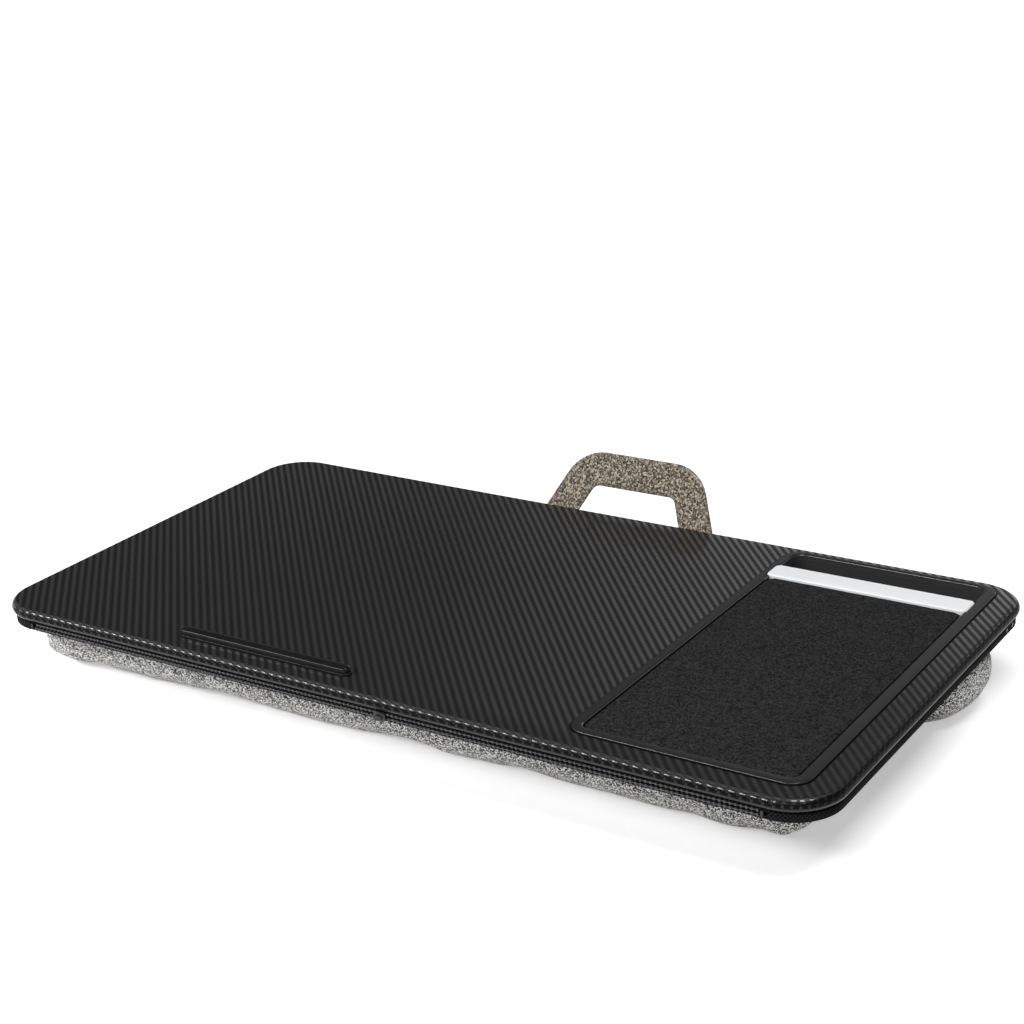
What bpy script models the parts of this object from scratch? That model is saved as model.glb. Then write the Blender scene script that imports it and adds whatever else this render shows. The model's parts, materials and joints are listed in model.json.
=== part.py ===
"""A lap desk: a padded board with a device tray, on two bead-filled bolsters.

The board is a stiff core under foam and a leather-look cover that turns round the edge.
A storage pocket lies between the board and the base panel. A woven band closes it at the
back and the sides, and a coil zip with a slider closes it along the front.
X runs along the front edge, Y to the rear and Z up. All lengths are in metres.
"""

import math

import bmesh
import bpy
from mathutils import Vector

# Fits shared by all the pieces.
SEAT_GAP = 0.0003
OVERRUN = 0.0020

# The board, from its outline down through its layers.
BOARD_LENGTH = 0.5600
BOARD_DEPTH = 0.3000
BOARD_CORNER = 0.0300
DESK_HEIGHT = 0.0520
COVER_THICKNESS = 0.0010
FOAM_THICKNESS = 0.0012
CORE_THICKNESS = 0.0040
TURN_IN = 0.0090
LINING_THICKNESS = 0.0006
CORNER_STEPS = 7
NOSE_STEPS = 6

# The device tray at the right, with its mouse pad, its bar and its slot.
TRAY_WIDTH = 0.1377
TRAY_RIGHT_MARGIN = 0.0173
TRAY_FRONT_MARGIN = 0.0160
TRAY_REAR_MARGIN = 0.0080
TRAY_CORNER = 0.0120
TRAY_FLANGE = 0.0008
TRAY_LAP = 0.0020
TRAY_EDGE_ROUND = 0.0005
TRAY_WALL = 0.0013
TRAY_FLOOR_DEPTH = 0.0031
TRAY_RIM_LEFT = 0.0062
TRAY_RIM_RIGHT = 0.0073
TRAY_RIM_FRONT = 0.0062
TRAY_RIM_REAR = 0.0035
RECESS_FRONT_CORNER = 0.0060
SLOT_CORNER = 0.0090
SLOT_WIDTH = 0.0222
SLOT_STEP = 0.0005
SLOT_DEPTH = 0.0110
BAR_WIDTH = 0.0170
BAR_BITE = 0.0026
BAR_RAISE = 0.0003
BAR_CORNER = 0.0025
BAR_EDGE_ROUND = 0.0005
PAD_THICKNESS = 0.0020
PAD_EDGE_ROUND = 0.0004

# The stop ledge that keeps a device from sliding forward, with the pegs that hold it.
LEDGE_LENGTH = 0.1250
LEDGE_WIDTH = 0.0090
LEDGE_HEIGHT = 0.0048
LEDGE_LEFT_MARGIN = 0.1400
LEDGE_FRONT_MARGIN = 0.0140
LEDGE_FLANGE = 0.0012
LEDGE_STEP = 0.0009
PEG_RADIUS = 0.0020
PEG_PITCH = 0.0500
PEG_COUNT = 3
PEG_SIDES = 12

# The band round the pocket, and the panel under it.
BAND_HEIGHT = 0.0050
BAND_INSET = 0.0020
BAND_THICKNESS = 0.0012
PANEL_THICKNESS = 0.0010
PANEL_LAP = 0.0004

# The zip along the front: two tapes, two rows of teeth, two stops.
TAPE_THICKNESS = 0.0006
TEETH_DEPTH = 0.0012
ROW_HEIGHT = 0.0011
ROW_SPINE = 0.0004
ROW_SPLIT = 0.0012
TOOTH_PITCH = 0.0037
TOOTH_WIDTH = 0.0019
TOOTH_TIP = 0.0011
CHAIN_DROP = 0.0019
STOP_WIDTH = 0.0016
STOP_PROUD = 0.0002

# The slider, which has a hooking eye and no pull, parked near the middle of the front.
SLIDER_REST = 0.0170
SLIDER_LENGTH = 0.0078
SLIDER_HEIGHT = 0.0056
SLIDER_NOSE = 0.0034
SLIDER_PLATE = 0.0009
SLIDER_BACK_PLATE = 0.0008
SLIDER_BACK_HEIGHT = 0.0038
SLIDER_FLANGE = 0.0006
SLIDER_WEB = 0.0006
SLIDER_WEB_LENGTH = 0.0030
SLIDER_MARGIN = 0.0016
EYE_LENGTH = 0.0040
EYE_WIDTH = 0.0018
EYE_WALL = 0.0006
EYE_OPENING = 0.0007

# The bolsters under the desk. The beads of the front one have settled to its left end.
BOLSTER_GAP = 0.0600
FRONT_WIDTH = 0.0920
FRONT_SETTLE = 0.0050
FRONT_LEFT_MARGIN = 0.0025
FRONT_RIGHT_MARGIN = 0.0275
FRONT_CORNER = 0.0240
REAR_WIDTH = 0.0940
REAR_MARGIN = 0.0040
REAR_CORNER = 0.0400
BOLSTER_DRAW_IN = 0.0060
BOLSTER_FLAT_CUT = 0.0005
BOLSTER_CLOTH = 0.0010
BOLSTER_WEB = 0.0006
BOLSTER_MIDDLE_SHARE = 0.58
BOLSTER_FULLNESS_SHARE = 0.80
BOLSTER_LEAST_SHARE = 0.05
BOLSTER_CORNER_STEPS = 6
BOLSTER_RISE_STEPS = 6
BOLSTER_DRAW_STEPS = 3

# The carrying handle at the rear.
HANDLE_ROOT_WIDTH = 0.1320
HANDLE_TOP_WIDTH = 0.0900
HANDLE_REACH = 0.0480
HANDLE_STRAP = 0.0230
HANDLE_THICKNESS = 0.0040
HANDLE_BEND = 0.0290
HANDLE_BEND_STEPS = 6
HANDLE_FOOT_STEPS = 3
HANDLE_DROP = 0.0097
HANDLE_TILT = 60
HANDLE_ROUND_SHARE = 0.45
TAB_THICKNESS = 0.0020
TAB_HEIGHT = 0.0039

# Heights and insets that follow from the sizes above.
BOARD_TOP = DESK_HEIGHT
FOAM_TOP = BOARD_TOP - COVER_THICKNESS - SEAT_GAP
CORE_TOP = FOAM_TOP - FOAM_THICKNESS - SEAT_GAP
CORE_BOTTOM = CORE_TOP - CORE_THICKNESS
RIM_BOTTOM = CORE_BOTTOM - SEAT_GAP - COVER_THICKNESS
NOSE_RADIUS = (BOARD_TOP - RIM_BOTTOM) / 2
LINING_TOP = CORE_BOTTOM - SEAT_GAP
BAND_TOP = RIM_BOTTOM - SEAT_GAP
BAND_BOTTOM = BAND_TOP - BAND_HEIGHT
PANEL_TOP = BAND_BOTTOM + PANEL_LAP
PANEL_BOTTOM = PANEL_TOP - PANEL_THICKNESS
PANEL_INSET = BAND_INSET + BAND_THICKNESS + SEAT_GAP
BOLSTER_TOP = PANEL_BOTTOM - SEAT_GAP
HALF_LENGTH = BOARD_LENGTH / 2
HALF_DEPTH = BOARD_DEPTH / 2

# Where the tray and its parts lie, measured from the middle of the board.
TRAY_TOP = BOARD_TOP + SEAT_GAP + TRAY_FLANGE
TRAY_FLOOR = TRAY_TOP - TRAY_FLOOR_DEPTH
TRAY_X = HALF_LENGTH - TRAY_RIGHT_MARGIN - TRAY_WIDTH / 2
TRAY_DEPTH = BOARD_DEPTH - TRAY_FRONT_MARGIN - TRAY_REAR_MARGIN
TRAY_Y = (TRAY_FRONT_MARGIN - TRAY_REAR_MARGIN) / 2
RECESS_LEFT = TRAY_X - TRAY_WIDTH / 2 + TRAY_RIM_LEFT
RECESS_RIGHT = TRAY_X + TRAY_WIDTH / 2 - TRAY_RIM_RIGHT
RECESS_FRONT = TRAY_Y - TRAY_DEPTH / 2 + TRAY_RIM_FRONT
RECESS_REAR = TRAY_Y + TRAY_DEPTH / 2 - TRAY_RIM_REAR
BAR_REAR = RECESS_REAR - SLOT_WIDTH
BAR_FRONT = BAR_REAR - BAR_WIDTH
SLOT_LEFT = RECESS_LEFT + SLOT_STEP
SLOT_RIGHT = RECESS_RIGHT - SLOT_STEP
SLOT_FRONT = BAR_REAR + SEAT_GAP
SLOT_REAR = RECESS_REAR - SLOT_STEP
SLOT_FLOOR = TRAY_TOP - SLOT_DEPTH

# Where the zip lies.
CHAIN_Z = BAND_TOP - CHAIN_DROP
TAPE_BACK = -(HALF_DEPTH - BAND_INSET - BAND_THICKNESS)
TAPE_FRONT = TAPE_BACK - TAPE_THICKNESS
TEETH_BACK = TAPE_FRONT - SEAT_GAP
TEETH_FRONT = TEETH_BACK - TEETH_DEPTH
TAPE_END = HALF_LENGTH - BOARD_CORNER - SEAT_GAP
STOP_OUTER = TAPE_END - STOP_WIDTH
CHAIN_END = STOP_OUTER - STOP_WIDTH - SEAT_GAP
SLIDER_FRONT = TEETH_FRONT - SEAT_GAP - SLIDER_PLATE
EYE_FRONT = SLIDER_FRONT - EYE_OPENING - EYE_WALL

# Where the handle turns, and the place that puts the whole desk's middle on the origin.
HANDLE_Y = HALF_DEPTH - BAND_INSET + SEAT_GAP + TAB_THICKNESS + SEAT_GAP + HANDLE_THICKNESS / 2
HANDLE_Z = BOARD_TOP - HANDLE_DROP
HANDLE_CREST = HANDLE_REACH - HANDLE_THICKNESS / 2 * HANDLE_ROUND_SHARE
HANDLE_REAR = (HANDLE_Y + HANDLE_CREST * math.cos(math.radians(HANDLE_TILT))
               + HANDLE_THICKNESS / 2 * math.sin(math.radians(HANDLE_TILT)))
DESK_Y = -(HANDLE_REAR + EYE_FRONT) / 2


def clear_scene():
    """Remove every object that the file opened with."""
    for thing in list(bpy.data.objects):
        bpy.data.objects.remove(thing, do_unlink=True)


def paint(name, colour, roughness, metallic=0.0):
    """A plain material of one colour."""
    material = bpy.data.materials.new(name)
    material.use_nodes = True
    shader = material.node_tree.nodes["Principled BSDF"]
    shader.inputs["Base Color"].default_value = (*colour, 1.0)
    shader.inputs["Roughness"].default_value = roughness
    shader.inputs["Metallic"].default_value = metallic
    material.diffuse_color = (*colour, 1.0)
    return material


def pivot(name, place, parent=None, tilt=0.0):
    """An empty that carries pieces, turned about X by tilt degrees."""
    empty = bpy.data.objects.new(name, None)
    empty.location = place
    empty.rotation_euler.x = math.radians(tilt)
    empty.parent = parent
    bpy.context.collection.objects.link(empty)
    return empty


def piece(name, shape, parent, material=None, smooth_angle=35):
    """An object made from a bmesh, with its sharp edges kept."""
    bmesh.ops.recalc_face_normals(shape, faces=shape.faces)
    mesh = bpy.data.meshes.new(name)
    shape.to_mesh(mesh)
    shape.free()
    mesh.shade_smooth()
    mesh.set_sharp_from_angle(angle=math.radians(smooth_angle))
    made = bpy.data.objects.new(name, mesh)
    made.parent = parent
    bpy.context.collection.objects.link(made)
    if material:
        mesh.materials.append(material)
    return made


def helper(name, shape, parent):
    """A body that only cuts or joins, and is no piece of the desk."""
    body = piece(name, shape, parent)
    body.hide_render = True
    body.display_type = "WIRE"
    return body


def combine(target, other, operation):
    """Cut the other body out of the target, or join it on."""
    step = target.modifiers.new(other.name, "BOOLEAN")
    step.operation = operation
    step.solver = "EXACT"
    step.object = other


def rounded_outline(left, right, front, rear, front_radius, rear_radius, steps):
    """Points round a rounded rectangle, anticlockwise from the end of its front edge."""
    corners = (
        (right - front_radius, front + front_radius, front_radius, -90),
        (right - rear_radius, rear - rear_radius, rear_radius, 0),
        (left + rear_radius, rear - rear_radius, rear_radius, 90),
        (left + front_radius, front + front_radius, front_radius, 180),
    )
    points = []
    for centre_x, centre_y, radius, start in corners:
        for step in range(steps + 1):
            angle = math.radians(start + 90 * step / steps)
            points.append((centre_x + radius * math.cos(angle), centre_y + radius * math.sin(angle)))
    return points


def inset_ring(inset, z, half_x=HALF_LENGTH, half_y=HALF_DEPTH, corner=BOARD_CORNER, steps=CORNER_STEPS):
    """The board's outline, or another centred one, drawn in by inset at the height z."""
    radius = max(corner - inset, SEAT_GAP)
    outline = rounded_outline(-(half_x - inset), half_x - inset, -(half_y - inset), half_y - inset,
                              radius, radius, steps)
    return [Vector((x, y, z)) for x, y in outline]


def raised(outline, z):
    """A flat outline lifted to the height z."""
    return [Vector((x, y, z)) for x, y in outline]


def loft(rings, shape=None):
    """Join rings of equally many points in turn, and close the first and the last."""
    shape = shape or bmesh.new()
    rows = [[shape.verts.new(point) for point in ring] for ring in rings]
    count = len(rows[0])
    for low, high in zip(rows, rows[1:]):
        for index in range(count):
            following = (index + 1) % count
            shape.faces.new((low[index], low[following], high[following], high[index]))
    shape.faces.new(list(reversed(rows[0])))
    shape.faces.new(rows[-1])
    return shape


def block(low, high, shape=None):
    """A box between two corners."""
    outline = ((low[0], low[1]), (high[0], low[1]), (high[0], high[1]), (low[0], high[1]))
    return loft([raised(outline, low[2]), raised(outline, high[2])], shape)


def round_bar(centre, radius, start, end, sides, axis):
    """A round bar along X, Y or Z, from start to end on its own axis."""
    rings = []
    for along in (start, end):
        ring = []
        for side in range(sides):
            angle = 2 * math.pi * (side + 0.5) / sides
            across = [centre[0] + radius * math.cos(angle), centre[1] + radius * math.sin(angle)]
            across.insert("XYZ".index(axis), along)
            ring.append(Vector(across))
        rings.append(ring)
    return loft(rings)


def nose_rings(outer_inset, radius, steps):
    """Rings down the board's rounded edge, from its top to its underside."""
    middle = (BOARD_TOP + RIM_BOTTOM) / 2
    rings = []
    for step in range(steps + 1):
        angle = math.pi * step / steps
        inset = outer_inset + radius * (1 - math.sin(angle))
        rings.append(inset_ring(inset, middle + radius * math.cos(angle)))
    return rings


def make_leather_cover(parent, material):
    """The skin over the board: a flat top, a round edge and a margin turned in below."""
    inner_radius = NOSE_RADIUS - COVER_THICKNESS
    outside = nose_rings(0, NOSE_RADIUS, NOSE_STEPS)
    inside = nose_rings(COVER_THICKNESS, inner_radius, NOSE_STEPS)
    turned = [inset_ring(TURN_IN, RIM_BOTTOM), inset_ring(TURN_IN, RIM_BOTTOM + COVER_THICKNESS)]
    shape = loft(outside + turned + inside[::-1])
    return piece("leather_cover", shape, parent, material)


def make_foam_layer(parent, material):
    """The thin padding between the skin and the core."""
    rings = [inset_ring(NOSE_RADIUS, FOAM_TOP - FOAM_THICKNESS), inset_ring(NOSE_RADIUS, FOAM_TOP)]
    return piece("foam_layer", loft(rings), parent, material)


def make_board_core(parent, material):
    """The stiff sheet, with its edge rounded to fit inside the skin."""
    radius = CORE_THICKNESS / 2
    rings = []
    for step in range(NOSE_STEPS + 1):
        angle = math.pi * step / NOSE_STEPS
        inset = NOSE_RADIUS - radius * math.sin(angle)
        rings.append(inset_ring(inset, CORE_TOP - radius + radius * math.cos(angle)))
    return piece("board_core", loft(rings), parent, material)


def make_underside_lining(parent, material):
    """The cloth under the core, inside the skin's turned margin. It roofs the pocket."""
    inset = TURN_IN + SEAT_GAP
    rings = [inset_ring(inset, LINING_TOP - LINING_THICKNESS), inset_ring(inset, LINING_TOP)]
    return piece("underside_lining", loft(rings), parent, material)


def tray_outline(inset):
    """The tray's outer outline, drawn in by inset."""
    half_x = TRAY_WIDTH / 2 - inset
    half_y = TRAY_DEPTH / 2 - inset
    radius = TRAY_CORNER - inset
    return rounded_outline(TRAY_X - half_x, TRAY_X + half_x, TRAY_Y - half_y, TRAY_Y + half_y,
                           radius, radius, CORNER_STEPS)


def slot_outline(grow):
    """The device slot's outline, grown by a wall or a clearance."""
    return rounded_outline(SLOT_LEFT - grow, SLOT_RIGHT + grow, SLOT_FRONT - grow, SLOT_REAR + grow,
                           SLOT_STEP + grow, SLOT_CORNER - SLOT_STEP + grow, CORNER_STEPS)


def make_device_tray(parent, material):
    """The moulded tray: a raised rim on the skin, a recess for the pad, a well for the slot."""
    body = tray_outline(TRAY_LAP)
    rim = tray_outline(0)
    recess = rounded_outline(RECESS_LEFT, RECESS_RIGHT, RECESS_FRONT, RECESS_REAR,
                             RECESS_FRONT_CORNER, SLOT_CORNER, CORNER_STEPS)
    rings = [
        raised(body, TRAY_FLOOR - TRAY_WALL),
        raised(body, TRAY_TOP - TRAY_FLANGE),
        raised(rim, TRAY_TOP - TRAY_FLANGE),
        raised(rim, TRAY_TOP - TRAY_EDGE_ROUND),
        raised(tray_outline(TRAY_EDGE_ROUND), TRAY_TOP),
        raised(recess, TRAY_TOP),
        raised(recess, TRAY_FLOOR),
    ]
    tray = piece("device_tray", loft(rings), parent, material)
    well_rings = [raised(slot_outline(TRAY_WALL), SLOT_FLOOR - TRAY_WALL),
                  raised(slot_outline(TRAY_WALL), TRAY_FLOOR - TRAY_WALL / 2)]
    well = helper("slot_well_body", loft(well_rings), parent)
    slot_rings = [raised(slot_outline(0), SLOT_FLOOR), raised(slot_outline(0), TRAY_TOP + OVERRUN)]
    slot = helper("slot_cut", loft(slot_rings), parent)
    notch_low = (RECESS_LEFT - BAR_BITE - SEAT_GAP, BAR_FRONT - SEAT_GAP, TRAY_FLOOR)
    notch_high = (RECESS_RIGHT + BAR_BITE / 2 + SEAT_GAP, BAR_REAR + SEAT_GAP, TRAY_TOP + OVERRUN)
    notch = helper("bar_notch_cut", block(notch_low, notch_high), parent)
    combine(tray, well, "UNION")
    combine(tray, slot, "DIFFERENCE")
    combine(tray, notch, "DIFFERENCE")
    return tray


def make_mouse_pad(parent, material):
    """The soft pad in the tray's recess, its top edge eased."""
    rings = []
    base = TRAY_FLOOR + SEAT_GAP
    for inset, z in ((0, base), (0, base + PAD_THICKNESS - PAD_EDGE_ROUND),
                     (PAD_EDGE_ROUND, base + PAD_THICKNESS)):
        grow = SEAT_GAP + inset
        outline = rounded_outline(RECESS_LEFT + grow, RECESS_RIGHT - grow, RECESS_FRONT + grow,
                                  BAR_FRONT - SEAT_GAP - grow, RECESS_FRONT_CORNER - grow,
                                  BAR_CORNER, CORNER_STEPS)
        rings.append(raised(outline, z))
    return piece("mouse_pad", loft(rings), parent, material)


def make_slot_bar(parent, material):
    """The light bar between the pad and the slot. Its ends bite into the tray's rim."""
    rings = []
    top = TRAY_TOP + BAR_RAISE
    for inset, z in ((0, TRAY_FLOOR + SEAT_GAP), (0, top - BAR_EDGE_ROUND), (BAR_EDGE_ROUND, top)):
        outline = rounded_outline(RECESS_LEFT - BAR_BITE + inset, RECESS_RIGHT + BAR_BITE / 2 - inset,
                                  BAR_FRONT + inset, BAR_REAR - inset, BAR_CORNER - inset,
                                  BAR_CORNER - inset, CORNER_STEPS)
        rings.append(raised(outline, z))
    return piece("slot_bar", loft(rings), parent, material)


def cut_for_tray(layers, lining, parent):
    """Open the layers for the tray's body, and the lining for the slot's well."""
    opening = tray_outline(TRAY_LAP - SEAT_GAP)
    rings = [raised(opening, CORE_BOTTOM - SEAT_GAP / 2), raised(opening, BOARD_TOP + OVERRUN)]
    cutter = helper("tray_opening_cut", loft(rings), parent)
    for layer in layers:
        combine(layer, cutter, "DIFFERENCE")
    rear = HALF_DEPTH
    low = (SLOT_LEFT - TRAY_WALL - SEAT_GAP, SLOT_FRONT - TRAY_WALL - SEAT_GAP, RIM_BOTTOM)
    high = (SLOT_RIGHT + TRAY_WALL + SEAT_GAP, rear, CORE_BOTTOM)
    well_cutter = helper("well_opening_cut", block(low, high), parent)
    combine(lining, well_cutter, "DIFFERENCE")


def peg_places():
    """The pegs' places, evenly spaced under the middle of the ledge."""
    middle_x = -HALF_LENGTH + LEDGE_LEFT_MARGIN + LEDGE_LENGTH / 2
    middle_y = -HALF_DEPTH + LEDGE_FRONT_MARGIN + LEDGE_WIDTH / 2
    first = middle_x - PEG_PITCH * (PEG_COUNT - 1) / 2
    return [(first + PEG_PITCH * index, middle_y) for index in range(PEG_COUNT)]


def make_stop_ledge(parent, material, layers):
    """The ledge: a flange on the skin, a step and a round crest, held by three pegs."""
    left = -HALF_LENGTH + LEDGE_LEFT_MARGIN
    front = -HALF_DEPTH + LEDGE_FRONT_MARGIN
    base = BOARD_TOP + SEAT_GAP
    crest = LEDGE_WIDTH / 2 - LEDGE_STEP
    shoulder = base + LEDGE_HEIGHT - crest / 2
    steps = ((0, base), (0, base + LEDGE_FLANGE), (LEDGE_STEP, base + LEDGE_FLANGE + LEDGE_STEP / 3),
             (LEDGE_STEP, shoulder))
    profile = list(steps)
    for angle in (30, 60, 85):
        inset = LEDGE_STEP + crest * (1 - math.cos(math.radians(angle)))
        profile.append((inset, shoulder + crest / 2 * math.sin(math.radians(angle))))
    rings = []
    for inset, z in profile:
        radius = LEDGE_WIDTH / 2 - inset - SEAT_GAP / 2
        outline = rounded_outline(left + inset, left + LEDGE_LENGTH - inset, front + inset,
                                  front + LEDGE_WIDTH - inset, radius, radius, 4)
        rings.append(raised(outline, z))
    ledge = piece("stop_ledge", loft(rings), parent, material)
    for number, place in enumerate(peg_places(), 1):
        shank = round_bar(place, PEG_RADIUS, CORE_BOTTOM + SEAT_GAP, base + LEDGE_FLANGE, PEG_SIDES, "Z")
        combine(ledge, helper(f"peg_{number}_body", shank, parent), "UNION")
        hole = round_bar(place, PEG_RADIUS + SEAT_GAP, CORE_BOTTOM - SEAT_GAP / 2, BOARD_TOP + OVERRUN,
                         PEG_SIDES, "Z")
        cutter = helper(f"peg_{number}_cut", hole, parent)
        for layer in layers:
            combine(layer, cutter, "DIFFERENCE")
    return ledge


def make_side_band(parent, material):
    """The woven band round the right, the rear and the left. It ends where the zip starts."""
    outer = inset_ring(BAND_INSET, BAND_BOTTOM)
    inner = inset_ring(BAND_INSET + BAND_THICKNESS, BAND_BOTTOM)
    lift = Vector((0, 0, BAND_HEIGHT))
    sections = [(a, a + lift, b + lift, b) for a, b in zip(outer, inner)]
    return piece("side_band", loft(sections), parent, material)


def make_zip_tapes(parent, material):
    """The two tapes: one under the board's edge, one rising from the base panel."""
    row_top = CHAIN_Z + ROW_SPLIT / 2
    row_bottom = CHAIN_Z - ROW_SPLIT / 2
    upper = block((-TAPE_END, TAPE_FRONT, row_top), (TAPE_END, TAPE_BACK, BAND_TOP))
    lower = block((-TAPE_END, TAPE_FRONT, BAND_BOTTOM), (TAPE_END, TAPE_BACK, row_bottom))
    piece("zip_tape_upper", upper, parent, material)
    piece("zip_tape_lower", lower, parent, material)


def tooth_outlines(side, shift):
    """Outlines in X and Z, end to end along a row: each a stretch of spine with one tooth."""
    spine = CHAIN_Z + side * (ROW_SPLIT / 2 + ROW_HEIGHT)
    valley = spine - side * ROW_SPINE
    crest = CHAIN_Z + side * ROW_SPLIT / 2
    slope = (TOOTH_WIDTH - TOOTH_TIP) / 2
    count = int((2 * CHAIN_END - TOOTH_WIDTH - TOOTH_PITCH / 2) / TOOTH_PITCH)
    first = shift - (TOOTH_PITCH * (count - 1) + TOOTH_WIDTH) / 2
    rises = [first + TOOTH_PITCH * index for index in range(count)]
    bounds = [-CHAIN_END] + rises[1:] + [CHAIN_END]
    outlines = []
    for left, rise, right in zip(bounds, rises, bounds[1:]):
        outline = [(left, spine), (left, valley), (rise, valley), (rise + slope, crest),
                   (rise + slope + TOOTH_TIP, crest), (rise + TOOTH_WIDTH, valley), (right, valley),
                   (right, spine)]
        if left == rise:
            outline.remove((rise, valley))
        outlines.append(outline)
    return outlines


def make_tooth_row(name, side, shift, parent, material):
    """One row of teeth on its spine. Each tooth has faces of its own, so that none is long."""
    shape = bmesh.new()
    known = {}

    def corner(x, y, z):
        """The row's vertex at this place, made only once."""
        if (x, y, z) not in known:
            known[(x, y, z)] = shape.verts.new((x, y, z))
        return known[(x, y, z)]

    outlines = tooth_outlines(side, shift)
    for outline in outlines:
        for y in (TEETH_FRONT, TEETH_BACK):
            shape.faces.new([corner(x, y, z) for x, z in outline])
        for low, high in zip(outline, outline[1:] + outline[:1]):
            if low[0] != high[0]:
                shape.faces.new([corner(low[0], TEETH_FRONT, low[1]), corner(high[0], TEETH_FRONT, high[1]),
                                 corner(high[0], TEETH_BACK, high[1]), corner(low[0], TEETH_BACK, low[1])])
    for high, low in (outlines[0][:2], outlines[-1][:-3:-1]):
        shape.faces.new([corner(x, y, z) for (x, z), y in ((high, TEETH_FRONT), (low, TEETH_FRONT),
                                                           (low, TEETH_BACK), (high, TEETH_BACK))])
    return piece(name, shape, parent, material)


def make_zip_teeth(parent, material):
    """Both rows of teeth. The lower row is shifted by half a pitch, as a coil zip's is."""
    make_tooth_row("zip_teeth_upper", 1, -TOOTH_PITCH / 4, parent, material)
    make_tooth_row("zip_teeth_lower", -1, TOOTH_PITCH / 4, parent, material)


def make_zip_stops(parent, material):
    """The clamps at both ends of the teeth."""
    top = CHAIN_Z + ROW_SPLIT / 2 + ROW_HEIGHT
    bottom = CHAIN_Z - ROW_SPLIT / 2 - ROW_HEIGHT
    for name, side in (("zip_stop_left", -1), ("zip_stop_right", 1)):
        ends = sorted((side * STOP_OUTER, side * (STOP_OUTER - STOP_WIDTH)))
        clamp = block((ends[0], TEETH_FRONT - STOP_PROUD, bottom), (ends[1], TEETH_BACK, top))
        piece(name, clamp, parent, material)


def slider_outline():
    """The slider's face in X and Z: wide shoulders at the open side, a tail at the closed one."""
    half = SLIDER_LENGTH / 2
    high = SLIDER_HEIGHT / 2
    tail = SLIDER_NOSE / 2
    cut = SLIDER_HEIGHT / 6
    return ((-half, high - cut), (-half, -high + cut), (-half + cut, -high), (-cut / 2, -high),
            (half - cut, -tail - cut / 3), (half, -tail), (half, tail), (half - cut, tail + cut / 3),
            (-cut / 2, high), (-half + cut, high))


def make_zip_slider(parent, material):
    """The slider: a face plate with turned edges, a web between the rows, a back plate, an eye."""
    face = SLIDER_FRONT
    face_back = face + SLIDER_PLATE
    rings = [[Vector((x, y, z)) for x, z in slider_outline()] for y in (face, face_back)]
    slider = piece("zip_slider", loft(rings), parent, material)
    back = TAPE_BACK + SEAT_GAP
    half = SLIDER_LENGTH / 2
    high = SLIDER_HEIGHT / 2
    row_reach = ROW_SPLIT / 2 + ROW_HEIGHT + SEAT_GAP
    web_start = -half + SLIDER_MARGIN / 2
    inner = face + SLIDER_PLATE / 2
    parts = (
        ("slider_web_body", (web_start, inner, -SLIDER_WEB / 2),
         (web_start + SLIDER_WEB_LENGTH, back + SLIDER_BACK_PLATE / 2, SLIDER_WEB / 2)),
        ("slider_back_body", (-half, back, -SLIDER_BACK_HEIGHT / 2),
         (half - SLIDER_MARGIN / 2, back + SLIDER_BACK_PLATE, SLIDER_BACK_HEIGHT / 2)),
        ("slider_top_flange_body", (-half + SLIDER_MARGIN, inner, row_reach),
         (0, face_back + SLIDER_FLANGE, high - SEAT_GAP / 2)),
        ("slider_bottom_flange_body", (-half + SLIDER_MARGIN, inner, -high + SEAT_GAP / 2),
         (0, face_back + SLIDER_FLANGE, -row_reach)),
        ("slider_eye_body", (-EYE_LENGTH / 2, EYE_FRONT, -EYE_WIDTH / 2),
         (EYE_LENGTH / 2, inner, EYE_WIDTH / 2)),
    )
    for name, low, high_corner in parts:
        combine(slider, helper(name, block(low, high_corner), parent), "UNION")
    eye_half = EYE_LENGTH / 2 - EYE_WALL
    eye = block((-eye_half, EYE_FRONT + EYE_WALL, -EYE_WIDTH), (eye_half, face, EYE_WIDTH))
    combine(slider, helper("slider_eye_cut", eye, parent), "DIFFERENCE")
    return slider


def make_base_panel(parent, material):
    """The stiff panel that floors the pocket and carries the bolsters."""
    rings = [inset_ring(PANEL_INSET, PANEL_BOTTOM), inset_ring(PANEL_INSET, PANEL_TOP)]
    return piece("base_panel", loft(rings), parent, material)


def bolster_profile(width, wall):
    """Inset and height up a bolster's side: off the flat base, out to the belly, in at the seam."""
    middle = BOLSTER_TOP * BOLSTER_MIDDLE_SHARE
    deep = middle + BOLSTER_FLAT_CUT - wall
    reach = width / 2 - wall
    flat_sine = (deep - BOLSTER_FLAT_CUT) / deep
    start = math.asin(flat_sine ** (1 / BOLSTER_FULLNESS_SHARE))
    profile = []
    for step in range(BOLSTER_RISE_STEPS + 1):
        angle = start * (1 - step / BOLSTER_RISE_STEPS)
        inset = wall + reach * (1 - math.cos(angle) ** BOLSTER_FULLNESS_SHARE)
        drop = deep * math.sin(angle) ** BOLSTER_FULLNESS_SHARE
        profile.append((inset, middle - drop))
    for step in range(1, BOLSTER_DRAW_STEPS + 1):
        angle = math.pi / 2 * step / BOLSTER_DRAW_STEPS
        inset = wall + BOLSTER_DRAW_IN * (1 - math.cos(angle))
        profile.append((inset, middle + (BOLSTER_TOP - middle) * math.sin(angle)))
    return profile


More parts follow.
